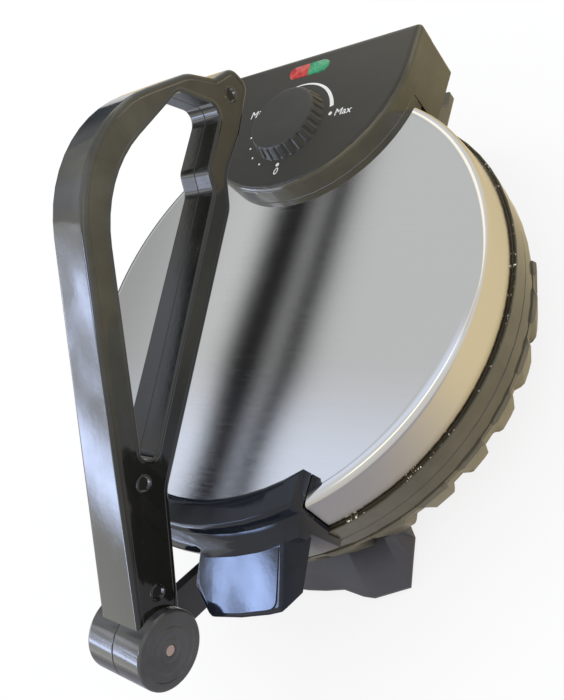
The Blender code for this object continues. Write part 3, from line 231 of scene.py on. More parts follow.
def gloss_plastic(name, colour, dust_and_sheen, roughness, painted_shade_heights=(0.13, 0.24), ior=1.5):
    """Polished moulded plastic with fine dust, and a haze that grows between two given heights: a painted
    shade that leaves lower parts darker.
    """
    made = Surface(name, IOR=ior)
    place = made.place()
    # Painted shade: the dust haze fades below the given heights, so the lower part stays darker
    haze = made.noise(place, 38.0, 3.0, 0.6) * (made.parts(place)[2].above(*painted_shade_heights) * 0.9 + 0.1)
    grain = made.noise(place, 900.0, 2.0, 0.6)
    specks = made.noise(place, 1500.0, 1.0, 0.4).above(0.73, 0.78)
    smears = made.noise(made.stretched(place, (1.0, 0.35, 1.0)), 70.0, 4.0, 0.65).above(0.45, 0.8)
    made.set(
        # The lighter colour is dust, and on some parts also a warm tint that paints a warm reflection
        Base_Color=made.mix(haze * 1.5 + specks * 0.3, colour, dust_and_sheen),
        Roughness=roughness + smears * 0.06 + grain * 0.02 + specks * 0.3,
        Normal=made.bump(made.noise(place, 320.0, 2.0, 0.5) * 0.6 + haze, 0.00006, 0.35),
    )
    return made.material


def matt_plastic(name, colour, dust_and_sheen, roughness):
    """Satin plastic with an even spark-eroded grain."""
    made = Surface(name, IOR=1.46)
    place = made.place()
    grain = made.noise(place, 1700.0, 3.0, 0.65)
    haze = made.noise(place, 26.0, 4.0, 0.6)
    rubbed = made.noise(made.stretched(place, (0.4, 1.0, 1.0)), 120.0, 3.0, 0.7).above(0.55, 0.8)
    made.set(
        # The lighter colour is dust, and on the shell also a warm tint that paints a warm reflection
        Base_Color=made.mix(haze * 0.7 + rubbed * 0.25, colour, dust_and_sheen),
        Roughness=roughness + grain * 0.12 - rubbed * 0.08,
        Normal=made.bump(grain, 0.00005, 0.5),
    )
    return made.material


def brushed_steel():
    """Steel sheet brushed from left to right on top and round the skirt at the side."""
    made = Surface("brushed_steel_sheet", Metallic=1.0)
    place = made.place()
    x, y, z = made.parts(place)
    facing = made.parts(made.node("ShaderNodeNewGeometry", out="Normal"))[2]
    flat = facing.above(0.55, 0.95)
    turn = made.math("ARCTAN2", y - LID_Y, x)
    round_place = made.point(turn * 0.14, z * 40.0)
    straight = made.noise(made.stretched(place, (9.0, 5200.0, 1.0)), 1.0, 3.0, 0.7)
    broad = made.noise(made.stretched(place, (4.0, 900.0, 1.0)), 1.0, 3.0, 0.6)
    ringed = made.noise(made.stretched(round_place, (40.0, 60.0, 1.0)), 1.0, 4.0, 0.7)
    grain = straight * flat + ringed * (1.0 - flat)
    scuff = made.noise(place, 45.0, 4.0, 0.7).above(0.62, 0.8)
    # Painted shade: a brown band darker towards the skirt's lower edge, standing in for the dark ring
    # mirrored there, broken up by scuffs
    darkening = (1.0 - z.above(Z_COVER - 0.0005, Z_COVER + 0.0068)) * (0.85 + scuff * 0.15)
    # The skirt's steel is warm all round and darker at the front: a painted warm reflection and painted
    # shade
    base = made.mix(y.above(-0.10, -0.02), (0.50, 0.475, 0.42), (0.60, 0.58, 0.55))
    skirt = made.mix(darkening, base, (0.30, 0.26, 0.18))
    metal = made.mix(flat, skirt, (0.575, 0.582, 0.595))
    made.set(
        Base_Color=made.mix(grain * 0.16 + broad * 0.10 + scuff * 0.06, metal, (0.42, 0.42, 0.43)),
        Roughness=0.038 + grain * 0.03 + broad * 0.02 + scuff * 0.03 + (1.0 - flat) * 0.135,
        Normal=made.bump(grain, 0.00002, 0.20),
    )
    return made.material


def plain_metal(name, colour, roughness):
    """Turned or drawn metal with fine tool marks."""
    made = Surface(name, Metallic=1.0)
    place = made.place()
    marks = made.noise(made.stretched(place, (1.0, 1.0, 4.0)), 600.0, 3.0, 0.7)
    darkening = made.noise(place, 60.0, 3.0, 0.6)
    dull = tuple(share * 0.6 for share in colour)
    made.set(
        Base_Color=made.mix(darkening * 0.5 + marks * 0.25, colour, dull),
        Roughness=roughness + marks * 0.15 + darkening * 0.08,
        Normal=made.bump(marks, 0.00004, 0.4),
    )
    return made.material


def coated_plate():
    """Dark non-stick coat, sprayed, with a fine pebble."""
    made = Surface("nonstick_coat", IOR=1.5)
    place = made.place()
    pebble = made.noise(place, 1300.0, 2.0, 0.55)
    wear = made.noise(place, 22.0, 4.0, 0.7).above(0.5, 0.8)
    made.set(
        Base_Color=made.mix(wear * 0.6 + pebble * 0.2, (0.022, 0.021, 0.021), (0.055, 0.052, 0.050)),
        Roughness=0.34 + pebble * 0.14,
        Normal=made.bump(pebble, 0.00006, 0.6),
    )
    return made.material


def glinting_edge():
    """Brown worn edge with bright flecks."""
    made = Surface("worn_edge", Metallic=0.9)
    place = made.place()
    patches = made.noise(place, 55.0, 2.0, 0.5).above(0.44, 0.58)
    flecks = made.noise(place, 520.0, 3.0, 0.6).above(0.60, 0.66) * patches
    made.set(
        Base_Color=made.mix(flecks, (0.045, 0.037, 0.022), (0.98, 0.93, 0.80)),
        Roughness=0.42 - flecks * 0.2,
    )
    return made.material


def lens(name, colour, deep):
    """Clear coloured lamp lens with facets moulded on its inner side."""
    made = Surface(name, IOR=1.38, Transmission_Weight=0.2, Coat_Weight=0.25, Coat_Roughness=0.03)
    place = made.place()
    facets = made.node("ShaderNodeTexVoronoi", {"feature": "F1"}, {"Vector": place, "Scale": 420.0})
    glow = made.noise(place, 160.0, 2.0, 0.5)
    made.set(
        Base_Color=made.mix(facets * 0.7 + glow * 0.3, colour, deep),
        Roughness=0.08 + facets * 0.2,
        Emission_Color=made.mix(facets, colour, deep),
        Emission_Strength=0.18,
        Normal=made.bump(facets, 0.0003, 0.5),
    )
    return made.material


def screen_print():
    """White screen print, a little worn."""
    made = Surface("white_print", IOR=1.45)
    place = made.place()
    wear = made.noise(place, 2200.0, 3.0, 0.6)
    made.set(
        Base_Color=made.mix(wear * 0.4, (0.80, 0.80, 0.78), (0.55, 0.55, 0.54)),
        Roughness=0.4 + wear * 0.2,
    )
    return made.material


def dress(material, *names):
    """Gives CAD nodes a finish and shades them smooth up to their real edges."""
    for name in names:
        node = NODES[name]
        node.data.materials.clear()
        node.data.materials.append(material)
        joined = node.modifiers.new("joined", "WELD")
        joined.merge_threshold = NODE_WELD
        node.data.shade_smooth()
        edges = node.modifiers.new("edges", "EDGE_SPLIT")
        edges.split_angle = NODE_FOLD


def in_scene(name, data):
    """A new object in the scene."""
    made = bpy.data.objects.new(name, data)
    bpy.context.scene.collection.objects.link(made)
    return made


def mesh_of(name, shape, place):
    """The mesh of a bmesh, with its faces turned outward, moved to its place."""
    bmesh.ops.recalc_face_normals(shape, faces=shape.faces)
    mesh = bpy.data.meshes.new(name)
    shape.to_mesh(mesh)
    shape.free()
    mesh.transform(place)
    return mesh


def new_piece(name, shape, material, body, place=IN_PLACE):
    """A finished mesh piece from a bmesh, shaded smooth up to its real edges."""
    mesh = mesh_of(name, shape, place)
    mesh.materials.append(material)
    mesh.shade_smooth()
    mesh.set_sharp_from_angle(angle=PIECE_FOLD)
    piece = in_scene(name, mesh)
    even = piece.modifiers.new("even_shading", "WEIGHTED_NORMAL")
    even.keep_sharp = True
    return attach(piece, body)


def rounded(corners):
    """Points of an outline whose corners (u, v, radius) are rounded by fine arcs."""
    arc_step = math.radians(7)
    points = []
    for index, (u, v, radius) in enumerate(corners):
        corner = Vector((u, v))
        if not radius:
            points.append(corner)
            continue
        before = (Vector(corners[index - 1][:2]) - corner).normalized()
        after = (Vector(corners[(index + 1) % len(corners)][:2]) - corner).normalized()
        half = before.angle(after) / 2
        centre = corner + (before + after).normalized() * (radius / math.sin(half))
        first = corner + before * (radius / math.tan(half)) - centre
        last = corner + after * (radius / math.tan(half)) - centre
        turn = first.angle_signed(last)
        steps = max(3, math.ceil(abs(turn) / arc_step))
        for step in range(steps + 1):
            points.append(centre + Matrix.Rotation(-turn * step / steps, 2) @ first)
    return points


def drawn_in(points, distance):
    """An outline drawn in by a distance, or let out when it is negative."""
    area = sum(a.x * b.y - b.x * a.y for a, b in zip(points, points[1:] + points[:1]))
    sign = math.copysign(1.0, area)
    # Keeps a sharp corner from running far out
    sharpest = 0.4
    moved = []
    for index, point in enumerate(points):
        before = (point - points[index - 1]).normalized()
        after = (points[(index + 1) % len(points)] - point).normalized()
        own = Vector((-before.y, before.x))
        side = (own + Vector((-after.y, after.x))).normalized()
        moved.append(point + side * (sign * distance / max(sharpest, side.dot(own))))
    return moved


def band(shape, rings):
    """Joins closed rings of corners one to the next. Returns the first and the last ring's corners."""
    made = [[shape.verts.new(point) for point in ring] for ring in rings]
    for here, after in zip(made, made[1:]):
        for index in range(len(here)):
            other = (index + 1) % len(here)
            shape.faces.new((here[index], here[other], after[other], after[index]))
    return made[0], made[-1]


def cover_between(shape, *rings):
    """Fills the flat stretch between closed rings of corners."""
    edges = []
    for ring in rings:
        for index, corner in enumerate(ring):
            edges.append(shape.edges.get((corner, ring[index - 1])))
    bmesh.ops.triangle_fill(shape, use_beauty=True, use_dissolve=False, edges=edges)


def closed(rings):
    """A bmesh of rings of corners joined one to the next and the last to the first."""
    shape = bmesh.new()
    band(shape, rings + rings[:1])
    bmesh.ops.remove_doubles(shape, verts=shape.verts, dist=RING_WELD)
    return shape


def lathe(profile, sides):
    """A closed profile (radius, height) turned about the upright axis."""
    turns = [math.tau * side / sides for side in range(sides)]
    return closed([[(r * math.cos(turn), r * math.sin(turn), z) for r, z in profile] for turn in turns])


def arc(radius, first, last, steps, middle=(0.0, 0.0)):
    """Points of an arc between two angles in degrees."""
    turns = [math.radians(first + (last - first) * step / steps) for step in range(steps + 1)]
    return [(middle[0] + radius * math.cos(turn), middle[1] + radius * math.sin(turn)) for turn in turns]


def disc(radius, sides, middle=(0.0, 0.0)):
    """Corners of a round outline."""
    return arc(radius, 0, 360, sides, middle)[:-1]


def prism(shape, outline, low, high):
    """Adds an outline (u, v) raised between two heights and closed at both."""
    for end in band(shape, [[(u, v, z) for u, v in outline] for z in (low, high)]):
        shape.faces.new(end)


def cut(piece, *tools):
    """Takes the tools' shapes out of a piece and removes the tools."""
    cuts = []
    for tool in tools:
        change = piece.modifiers.new("cut", "BOOLEAN")
        change.operation = "DIFFERENCE"
        change.solver = "EXACT"
        change.object = tool
        cuts.append(change)
    shading = piece.modifiers["even_shading"]
    shading.show_viewport = False
    graph = bpy.context.evaluated_depsgraph_get()
    mesh = bpy.data.meshes.new_from_object(piece.evaluated_get(graph))
    for change in cuts:
        piece.modifiers.remove(change)
    piece.data = mesh
    mesh.name = piece.name
    mesh.set_sharp_from_angle(angle=PIECE_FOLD)
    shading.show_viewport = True
    for tool in tools:
        bpy.data.objects.remove(tool)
    return piece


def cutter(name, shape, place=IN_PLACE):
    """An object that cut takes out of a piece."""
    return in_scene(name, mesh_of(name, shape, place))


def prism_cutter(name, outline, low, high, place):
    """A cutter from an outline (u, v) raised between two heights."""
    shape = bmesh.new()
    prism(shape, outline, low, high)
    return cutter(name, shape, place)


# Half the lever's width at its pivot, and how much narrower it gets towards its tip
LEVER_HALF_WIDTH = 0.0153
LEVER_TAPER = 0.0046

# Lever: reach and rise from its pivot, then side outline and loop in shares of them, (y, z, corner radius)
LEVER_REACH = 0.2916
LEVER_RISE = 0.1378
LEVER_SIDE = (
    (-0.017, 0.092, 0.0), (0.692, 1.123, 0.072), (0.916, 0.781, 0.020), (0.952, 0.664, 0.0075),
    (1.000, 0.606, 0.0075), (1.000, 0.504, 0.007), (0.898, 0.457, 0.020), (0.816, 0.450, 0.016),
    (0.761, 0.374, 0.016), (0.247, 0.218, 0.014), (0.055, -0.034, 0.0),
)
LEVER_LOOP = (
    (0.273, 0.381, 0.0048), (0.648, 0.929, 0.066), (0.874, 0.787, 0.007), (0.916, 0.583, 0.007),
    (0.792, 0.544, 0.008), (0.765, 0.483, 0.008), (0.285, 0.319, 0.0048),
)
LEVER_SCREWS = ((0.950, 0.570), (0.239, 0.337), (0.083, 0.114))

# Steps over the lever's edges, in mm: how far in from the outline, how deep below the side face
EDGE_STEPS = ((0.0, 2.6), (0.12, 1.75), (0.45, 1.0), (0.95, 0.42), (1.6, 0.1), (2.3, 0.0))
SEAM_STEPS = ((3.0, 0.02), (3.12, 0.45), (3.3, 0.45), (3.42, 0.16), (3.9, 0.12))
LOOP_STEPS = (
    (0.0, 1.3), (0.1, 0.75), (0.4, 0.28), (0.85, 0.02), (1.3, 0.0), (1.75, 0.14), (2.1, 0.42), (2.5, 0.5),
)

# Groove round the middle of the loop's wall, where the lever's halves meet: (x, depth)
SPLIT_LINE = ((-0.00035, 0.0), (-0.0001, 0.0005), (0.0001, 0.0005), (0.00035, 0.0))

# Holes of the lever's screws: their radius, how deep they go, and the rim round them as (radius, height)
RECESS_RADIUS = 0.0036
RECESS_DEPTH = 0.0038
RECESS_RIM = (
    (0.0036, -0.0002), (0.0036, 0.0001), (0.00385, 0.0003), (0.0042, 0.00025), (0.0046, 0.0),
    (0.0046, -0.0002),
)


def lever_half_width(y):
    """The lever narrows steadily from its pivot to its tip."""
    return LEVER_HALF_WIDTH - LEVER_TAPER * y / LEVER_REACH


def lever_ring(outline, inset, depth, side):
    """One ring round the lever, at a depth in mm below the face on one side (-1 or 1)."""
    points = drawn_in(outline, inset / 1000)
    return [(side * (lever_half_width(u) - depth / 1000), u, v) for u, v in points]


def lever_arm(material):
    """Arm with rounded edges, a seam line round its right face and a bead round its loop."""
    outer = rounded([(u * LEVER_REACH, v * LEVER_RISE, r) for u, v, r in LEVER_SIDE])
    loop = rounded([(u * LEVER_REACH, v * LEVER_RISE, r) for u, v, r in LEVER_LOOP])
    shape = bmesh.new()
    left = [lever_ring(outer, inset, depth, -1) for inset, depth in reversed(EDGE_STEPS)]
    right = [lever_ring(outer, inset, depth, 1) for inset, depth in EDGE_STEPS + SEAM_STEPS]
    outer_left, outer_right = band(shape, left + right)
    hole_left = [lever_ring(loop, -inset, depth, -1) for inset, depth in reversed(LOOP_STEPS)]
    hole_right = [lever_ring(loop, -inset, depth, 1) for inset, depth in LOOP_STEPS]
    split = [[(x, u, v) for u, v in drawn_in(loop, -deep)] for x, deep in SPLIT_LINE]
    loop_left, loop_right = band(shape, hole_left + split + hole_right)
    cover_between(shape, outer_left, loop_left)
    cover_between(shape, outer_right, loop_right)
    arm = new_piece("lever_arm", shape, material, "lever", Matrix.Translation(PIVOT))
    sides, beyond = 28, 0.01
    recesses = []
    for index, (u, v) in enumerate(LEVER_SCREWS, 1):
        y = u * LEVER_REACH
        place = Matrix.Translation(PIVOT + Vector((lever_half_width(y), y, v * LEVER_RISE))) @ FROM_SIDE
        hole = disc(RECESS_RADIUS, sides)
        recesses.append(prism_cutter(f"recess_{index}", hole, -RECESS_DEPTH, beyond, place))
        rim = lathe(RECESS_RIM, sides)
        new_piece(f"lever_recess_rim_{index}", rim, material, "lever", place)
    return cut(arm, *recesses, *knuckle_room("arm"))


def copy_of(name, material, body="lid", scale=(1.0, 1.0, 1.0)):
    """A welded copy of a CAD node to be worked further, scaled about the middle of its own box."""
    node = NODES[name]
    shape = bmesh.new()
    shape.from_mesh(node.data)
    shape.transform(node.matrix_world)
    bmesh.ops.remove_doubles(shape, verts=shape.verts, dist=NODE_WELD)
    bmesh.ops.dissolve_limit(shape, angle_limit=0.002, verts=shape.verts, edges=shape.edges)
    low = [min(v.co[axis] for v in shape.verts) for axis in range(3)]
    high = [max(v.co[axis] for v in shape.verts) for axis in range(3)]
    middle = [(a + b) / 2 for a, b in zip(low, high)]
    for vertex in shape.verts:
        vertex.co = [c + (here - c) * share for c, here, share in zip(middle, vertex.co, scale)]
    return new_piece(name + "_fine", shape, material, body)


def d_outline(inset):
    """Outline of the control box's top, drawn in by a distance."""
    reach = BOX_RADIUS - inset
    corner = max(BOX_CORNER - inset, BOX_LEAST_CORNER)
    points = arc(reach, 180, 360, 48, (0.0, BOX_ARC_Y))
    for side, first in ((1, 0), (-1, 90)):
        middle = (side * (reach - corner), BOX_BACK_Y - inset - corner)
        points += arc(corner, first, first + 90, 6, middle)
    return points


def edge_cutter(name):
    """Cutter that leaves a soft shoulder round the top of the control box."""
    wide, deep, beyond, steps = 0.0050, 0.0036, 0.002, 8
    section = [(-beyond, Z_PANEL + beyond), (wide, Z_PANEL + beyond)]
    for step in range(steps + 1):
        turn = math.pi / 2 * step / steps
        section.append((wide - wide * math.sin(turn), Z_PANEL - deep + deep * math.cos(turn)))
    section.append((-beyond, Z_PANEL - deep))
    rings = [[(x, y, z) for x, y in d_outline(inset)] for inset, z in section]
    return cutter(name + "_edge", closed(rings))


def box_foot(material):
    """Lower edge of the control box's wall, down to the steel and, narrower, into its opening."""
    inner = 0.0030
    shape = bmesh.new()
    outside, inside = (0.0003, 0.1215, 0.0002, 0.0046), (0.0018, 0.1300, -0.0060, 0.0006)
    for outer, end, low, high in (outside, inside):
        outline = [point for point in d_outline(outer) if point[1] < LID_Y + end]
        outline += [point for point in d_outline(inner) if point[1] < LID_Y + end][::-1]
        for ring in band(shape, [[(x, y, Z_TOP + z) for x, y in outline] for z in (low, high)]):
            cover_between(shape, ring)
    new_piece("control_box_foot", shape, material, "lid")


def scalloped_shell(material):
    """The CAD shell with its notches carried up to the ring and its ledge sloped."""
    notches, rear_end = 32, 0.0408
    middle, floor, outer = 0.1464, 0.1447, 0.1500
    low, high = 0.0440, 0.0490
    pitch = math.tau / notches * middle
    # Half widths of a notch at its mouth and at its floor
    wide, narrow = pitch * 0.38 + 0.0072, pitch * 0.14
    corners = [(outer, wide), (outer, -wide), (floor, -narrow), (floor, narrow)]
    shape = bmesh.new()
    for index in range(notches):
        turn = math.tau * index / notches
        if middle * math.sin(turn) <= rear_end:
            spin = Matrix.Rotation(turn, 2)
            prism(shape, [spin @ Vector(corner) for corner in corners], low, high)
    notch_cutter = cutter("shell_notches", shape, LID_MIDDLE)
    ledge = [(0.1449, 0.0479), (0.1470, 0.0479), (0.1470, 0.0448), (0.1466, 0.0448)]
    slope_cutter = cutter("shell_slope", lathe(ledge, 160), LID_MIDDLE)
    shell = copy_of("base_shell", material, body="base")
    return cut(shell, slope_cutter, notch_cutter)


def soften(name, width):
    """Small rounding along the real edges of a CAD node."""
    node = NODES[name]
    flats = node.modifiers.new("flats", "DECIMATE")
    flats.decimate_type = "DISSOLVE"
    flats.angle_limit = math.radians(0.5)
    round_off = node.modifiers.new("round_off", "BEVEL")
    round_off.width = width
    round_off.segments = 3
    round_off.limit_method = "ANGLE"
    round_off.angle_limit = NODE_FOLD
    edges = node.modifiers.find("edges")
    node.modifiers.move(edges, len(node.modifiers) - 1)


def worn_edge(material):
    """Thin flash along the upper edge of the lid's ring, worn bright in places."""
    ragged = random.Random(7)
    section = ((0.1429, 0.0), (0.1431, 0.00035), (0.1436, 0.0005), (0.1441, 0.0003), (0.1443, 0.0))
    sides, least_lift, sway = 720, 0.35, 0.00012
    rings = []
    for side in range(sides):
        turn = math.tau * side / sides
        lift = ragged.uniform(least_lift, 1.0)
        reach = ragged.uniform(-sway, sway)
        across, along = math.cos(turn), math.sin(turn)
        rings.append([((r + reach) * across, (r + reach) * along, z * lift) for r, z in section])
    place = Matrix.Translation((0.0, LID_Y, Z_COVER - 0.0003))
    new_piece("ring_flash", closed(rings), material, "lid", place)


def knuckle_room(name):
    """The room in the barrel that the bracket's knuckle turns in, open below over the lever's swing."""
    radius, half_room = 0.0132, 0.009
    room = prism_cutter(name + "_room", disc(radius, 40), -half_room, half_room, AT_PIVOT)
    reach, half_slot = 0.0248, 0.0036
    sector = [(0.0, 0.0), *arc(reach, 18, -192, 24)]
    return room, prism_cutter(name + "_slot", sector, -half_slot, half_slot, AT_PIVOT)


def barrel(name, side, material):
    """One half of the lever's barrel: a rounded drum whose end has stepped rings round the pin."""
    profile = [
        (0.0030, 0.0), (0.0193, 0.0), (0.0196, 0.00015), (0.0198, 0.0006), (0.0198, 0.0188),
        (0.01965, 0.0196), (0.0192, 0.0202), (0.0184, 0.0205), (0.0160, 0.0205), (0.0155, 0.0204),
        (0.0152, 0.0200), (0.0148, 0.01985), (0.0120, 0.0198), (0.0116, 0.0199), (0.0112, 0.0202),
        (0.0104, 0.0203), (0.0078, 0.0202), (0.0072, 0.0200), (0.0068, 0.0199), (0.0058, 0.0199),
        (0.0054, 0.0202), (0.0048, 0.0203), (0.0036, 0.0203), (0.0030, 0.0201),
    ]
    half_gap = 0.00012
    spun = [(r, side * (half_gap + x)) for r, x in profile]
    half = new_piece(name, lathe(spun, 96), material, "lever", AT_PIVOT)
    return cut(half, *knuckle_room(name))


def steel_cover(material):
    """Pressed steel sheet: flat top, a soft bead along its rounded edge and a flared skirt."""
    sheet, bend = 0.0008, 0.0052
    edge = [(0.1330, 0.0), (0.1338, 0.00003), (0.1345, 0.00012)]
    edge += arc(bend, 90, 0, 12, (0.1348, -0.0051))[1:]
    rim, flare, start, depth = 0.1400, 0.0024, -0.0055, 0.0206
    skirt = [(rim + flare * share, start - depth * share) for share in (0.25, 0.5, 0.75, 1.0)]
    outer = [(0.0, 0.0), (0.06, 0.0), (0.11, 0.0), *edge, *skirt]
    bend_from, bend_to = 0.1346, 0.1399
    inner = [(r - sheet if r > bend_from else r, z - sheet if r < bend_to else z) for r, z in outer]
    inner[-1] = (outer[-1][0] - sheet, outer[-1][1])
    shape = lathe([(r, Z_TOP + z) for r, z in outer + inner[::-1]], 144)
    cover = new_piece("steel_cover_sheet", shape, material, "lid", LID_MIDDLE)
    reach, middle, beyond = 0.0756, 0.1419, 0.2
    opening = arc(reach, 180, 360, 40, (0.0, middle)) + [(reach, beyond), (-reach, beyond)]
    low, high = 0.04, 0.12
    return cut(cover, prism_cutter("cover_opening", opening, low, high, LID_MIDDLE))


def knob(material):
    """Knob with a smooth, slightly domed top and shallow grips on its sloping side."""
    ridges, finer, depth = 26, 12, 0.0011
    # Shares of one ridge with its groove: half of the ridge's top, and the slope down to the groove
    half_top, slope = 0.30, 0.06
    # Radius, height above the panel and share of the grooves' depth
    levels = [
        (0.0252, 0.0003, 0.2), (0.0252, 0.0009, 1.0), (0.0250, 0.0014, 1.0), (0.0240, 0.0045, 1.0),
        (0.0232, 0.0072, 0.9), (0.0228, 0.0080, 0.35), (0.0224, 0.0086, 0.0), (0.0217, 0.0090, 0.0),
        (0.0207, 0.0092, 0.0), (0.0150, 0.0094, 0.0), (0.0080, 0.0095, 0.0),
    ]
    rings = []
    for radius, height, grip in levels:
        ring = []
        for side in range(ridges * finer):
            phase = (side % finer) / finer
            sunk = min(1.0, max(0.0, (abs(phase - 0.5) - half_top) / slope))
            reach = radius - depth * grip * sunk
            turn = math.tau * side / (ridges * finer)
            ring.append((reach * math.cos(turn), reach * math.sin(turn), height))
        rings.append(ring)
    shape = bmesh.new()
    for end in band(shape, rings):
        shape.faces.new(end)
    return new_piece("knob_grip", shape, material, "knob", Matrix.Translation(DIAL))


def as_print(name, curve, place, material):
    """Turns a curve or text into a mesh of print that rides on the lid."""
    source = in_scene(name, curve)
    graph = bpy.context.evaluated_depsgraph_get()
    mesh = bpy.data.meshes.new_from_object(source.evaluated_get(graph))
    bpy.data.objects.remove(source)
    mesh.transform(place)
    mesh.name = name
    mesh.materials.append(material)
    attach(in_scene(name, mesh), "lid")


def mark(name, outline, material):
    """A filled outline of (x, y) in flat print."""
    curve = bpy.data.curves.new(name, "CURVE")
    curve.dimensions = "2D"
    curve.fill_mode = "BOTH"
    curve.extrude = PRINT_HALF
    spline = curve.splines.new("POLY")
    spline.points.add(len(outline) - 1)
    for point, (x, y) in zip(spline.points, outline):
        point.co = (x, y, 0.0, 1.0)
    spline.use_cyclic_u = True
    as_print(name, curve, Matrix.Translation((0.0, 0.0, PRINT_Z)), material)


def word(name, text, size, x, y, material):
    """A generic dial word or number in flat print."""
    curve = bpy.data.curves.new(name, "FONT")
    curve.body = text
    curve.size = size
    curve.align_x = "CENTER"
    curve.align_y = "CENTER"
    curve.extrude = PRINT_HALF
    curve.shear = 0.12
    curve.offset = 0.00003
    as_print(name, curve, Matrix.Translation((x, y, PRINT_Z)), material)


def dial_print(material):
    """Marks round the knob: small dots that lead to a growing arc, with the ends of the scale named."""
    dots = [
        ("dial_dot_1", -0.0310, 0.1020, 0.0007), ("dial_dot_2", -0.0280, 0.0930, 0.0007),
        ("dial_dot_3", -0.0230, 0.0850, 0.0007), ("dial_dot_4", -0.0150, 0.0790, 0.0007),
        ("dial_dot_off", 0.0010, 0.0760, 0.0013), ("dial_dot_most", 0.0301, 0.1073, 0.0013),
    ]
    for name, x, y, radius in dots:
        mark(name, disc(radius, 20, (x, y + LID_Y)), material)
    # The arc grows wider from its first end to its last and bends a little inward
    first, last, steps = math.radians(107), math.radians(16), 36
    half_width, growth = 0.00025, 0.00110
    radius, shrink = 0.0324, 0.0019
    outer = []
    inner = []
    for step in range(steps + 1):
        share = step / steps
        turn = first + (last - first) * share
        half = half_width + growth * share
        reach = radius - shrink * share
        outer.append(((reach + half) * math.cos(turn), DIAL.y + (reach + half) * math.sin(turn)))
        inner.append(((reach - half) * math.cos(turn), DIAL.y + (reach - half) * math.sin(turn)))
    mark("dial_arc", outer + inner[::-1], material)
    word("dial_word_off", "0", 0.0068, 0.0012, 0.0710 + LID_Y, material)
    word("dial_word_most", "Max", 0.0071, 0.0392, 0.1070 + LID_Y, material)
    word("dial_word_least", "Min", 0.0078, -0.0331, 0.1209 + LID_Y, material)


def seen_rays(made):
    """1 for what the camera, a reflection or clear plastic sees, 0 for the light that falls on things."""
    path = made.node("ShaderNodeLightPath").socket.node.outputs
    seen = Value(made, path["Is Camera Ray"])
    for name in ("Is Glossy Ray", "Is Transmission Ray"):
        seen = made.math("MAXIMUM", seen, Value(made, path[name]))
    return seen


def studio_air():
    """A pale world that lights the object softly and is seen as white."""
    world = bpy.data.worlds.new("studio_air")
    bpy.context.scene.world = world
    world.use_nodes = True
    world.node_tree.nodes.clear()
    air = Finish(world.node_tree)
    light = air.node("ShaderNodeBackground", None, {"Color": (0.97, 0.98, 1.0), "Strength": 1.0})
    white = air.node("ShaderNodeBackground", None, {"Color": WHITE, "Strength": 1.0})
    air.show("ShaderNodeOutputWorld", air.either(seen_rays(air), light, white))


def stage_plane(name, corners, shader):
    """A flat studio surface with one shader built by a function."""
    mesh = bpy.data.meshes.new(name)
    mesh.from_pydata(corners, [], [tuple(range(len(corners)))])
    material = bpy.data.materials.new(name)
    material.use_nodes = True
    material.node_tree.nodes.clear()
    made = Finish(material.node_tree)
    made.show("ShaderNodeOutputMaterial", shader(made))
    mesh.materials.append(material)
    piece = in_scene(name, mesh)
    return piece


def mirrored_plane(name, corners, shader):
    """A studio surface that only glossy surfaces see."""
    card = stage_plane(name, corners, shader)
    card.visible_camera = False
    card.visible_diffuse = False
    card.visible_shadow = False
    card.visible_transmission = False


def level(low_x, low_y, high_x, high_y, height):
    """Corners of a level rectangle."""
    corners = ((low_x, low_y), (high_x, low_y), (high_x, high_y), (low_x, high_y))
    return [(x, y, height) for x, y in corners]


def floor_shader(made):
    """Pale floor that the eye sees almost white, with the object's shadow kept."""
    matt = made.node("ShaderNodeBsdfDiffuse", None, {"Color": (0.90, 0.90, 0.90)})
    return made.either(seen_rays(made) * 0.80, matt, made.shine(WHITE))


def lamp(name, where, size, power, colour):
    """A square area lamp that faces the object and isn't mirrored in it."""
    data = bpy.data.lights.new(name, "AREA")
    data.size = size
    data.energy = power
    data.color = colour
    light = in_scene(name, data)
    light.location = where
    aim = Vector((0.0, 0.0, 0.1))
    light.rotation_euler = (aim - Vector(where)).to_track_quat("-Z", "Y").to_euler()
    light.visible_glossy = False


def camera():
    """The photograph's camera, as fitted to the round lid, the lever and the control box."""
    data = bpy.data.cameras.new("camera")
    data.sensor_width = 36.0
    data.lens = 37.3647
    data.clip_start = 0.01
    eye = in_scene("camera", data)
    eye.matrix_world = Matrix((
        (0.76113869, -0.02246572, 0.64819996, 0.28863),
        (0.28708028, 0.90783925, -0.30563508, -0.13550),
        (-0.58159506, 0.41871611, 0.69744104, 0.37328),
        (0.0, 0.0, 0.0, 1.0),
    ))
    bpy.context.scene.camera = eye


def spot(x, y, middle, narrow):
    """1 in the middle of an oval and 0 beyond its soft edge; larger numbers in narrow make it smaller."""
    off_x, off_y = x - middle[0], y - middle[1]
    far = off_x * off_x * narrow[0] + off_y * off_y * narrow[1]
    return 1.0 - far.above(0.1, 1.0)


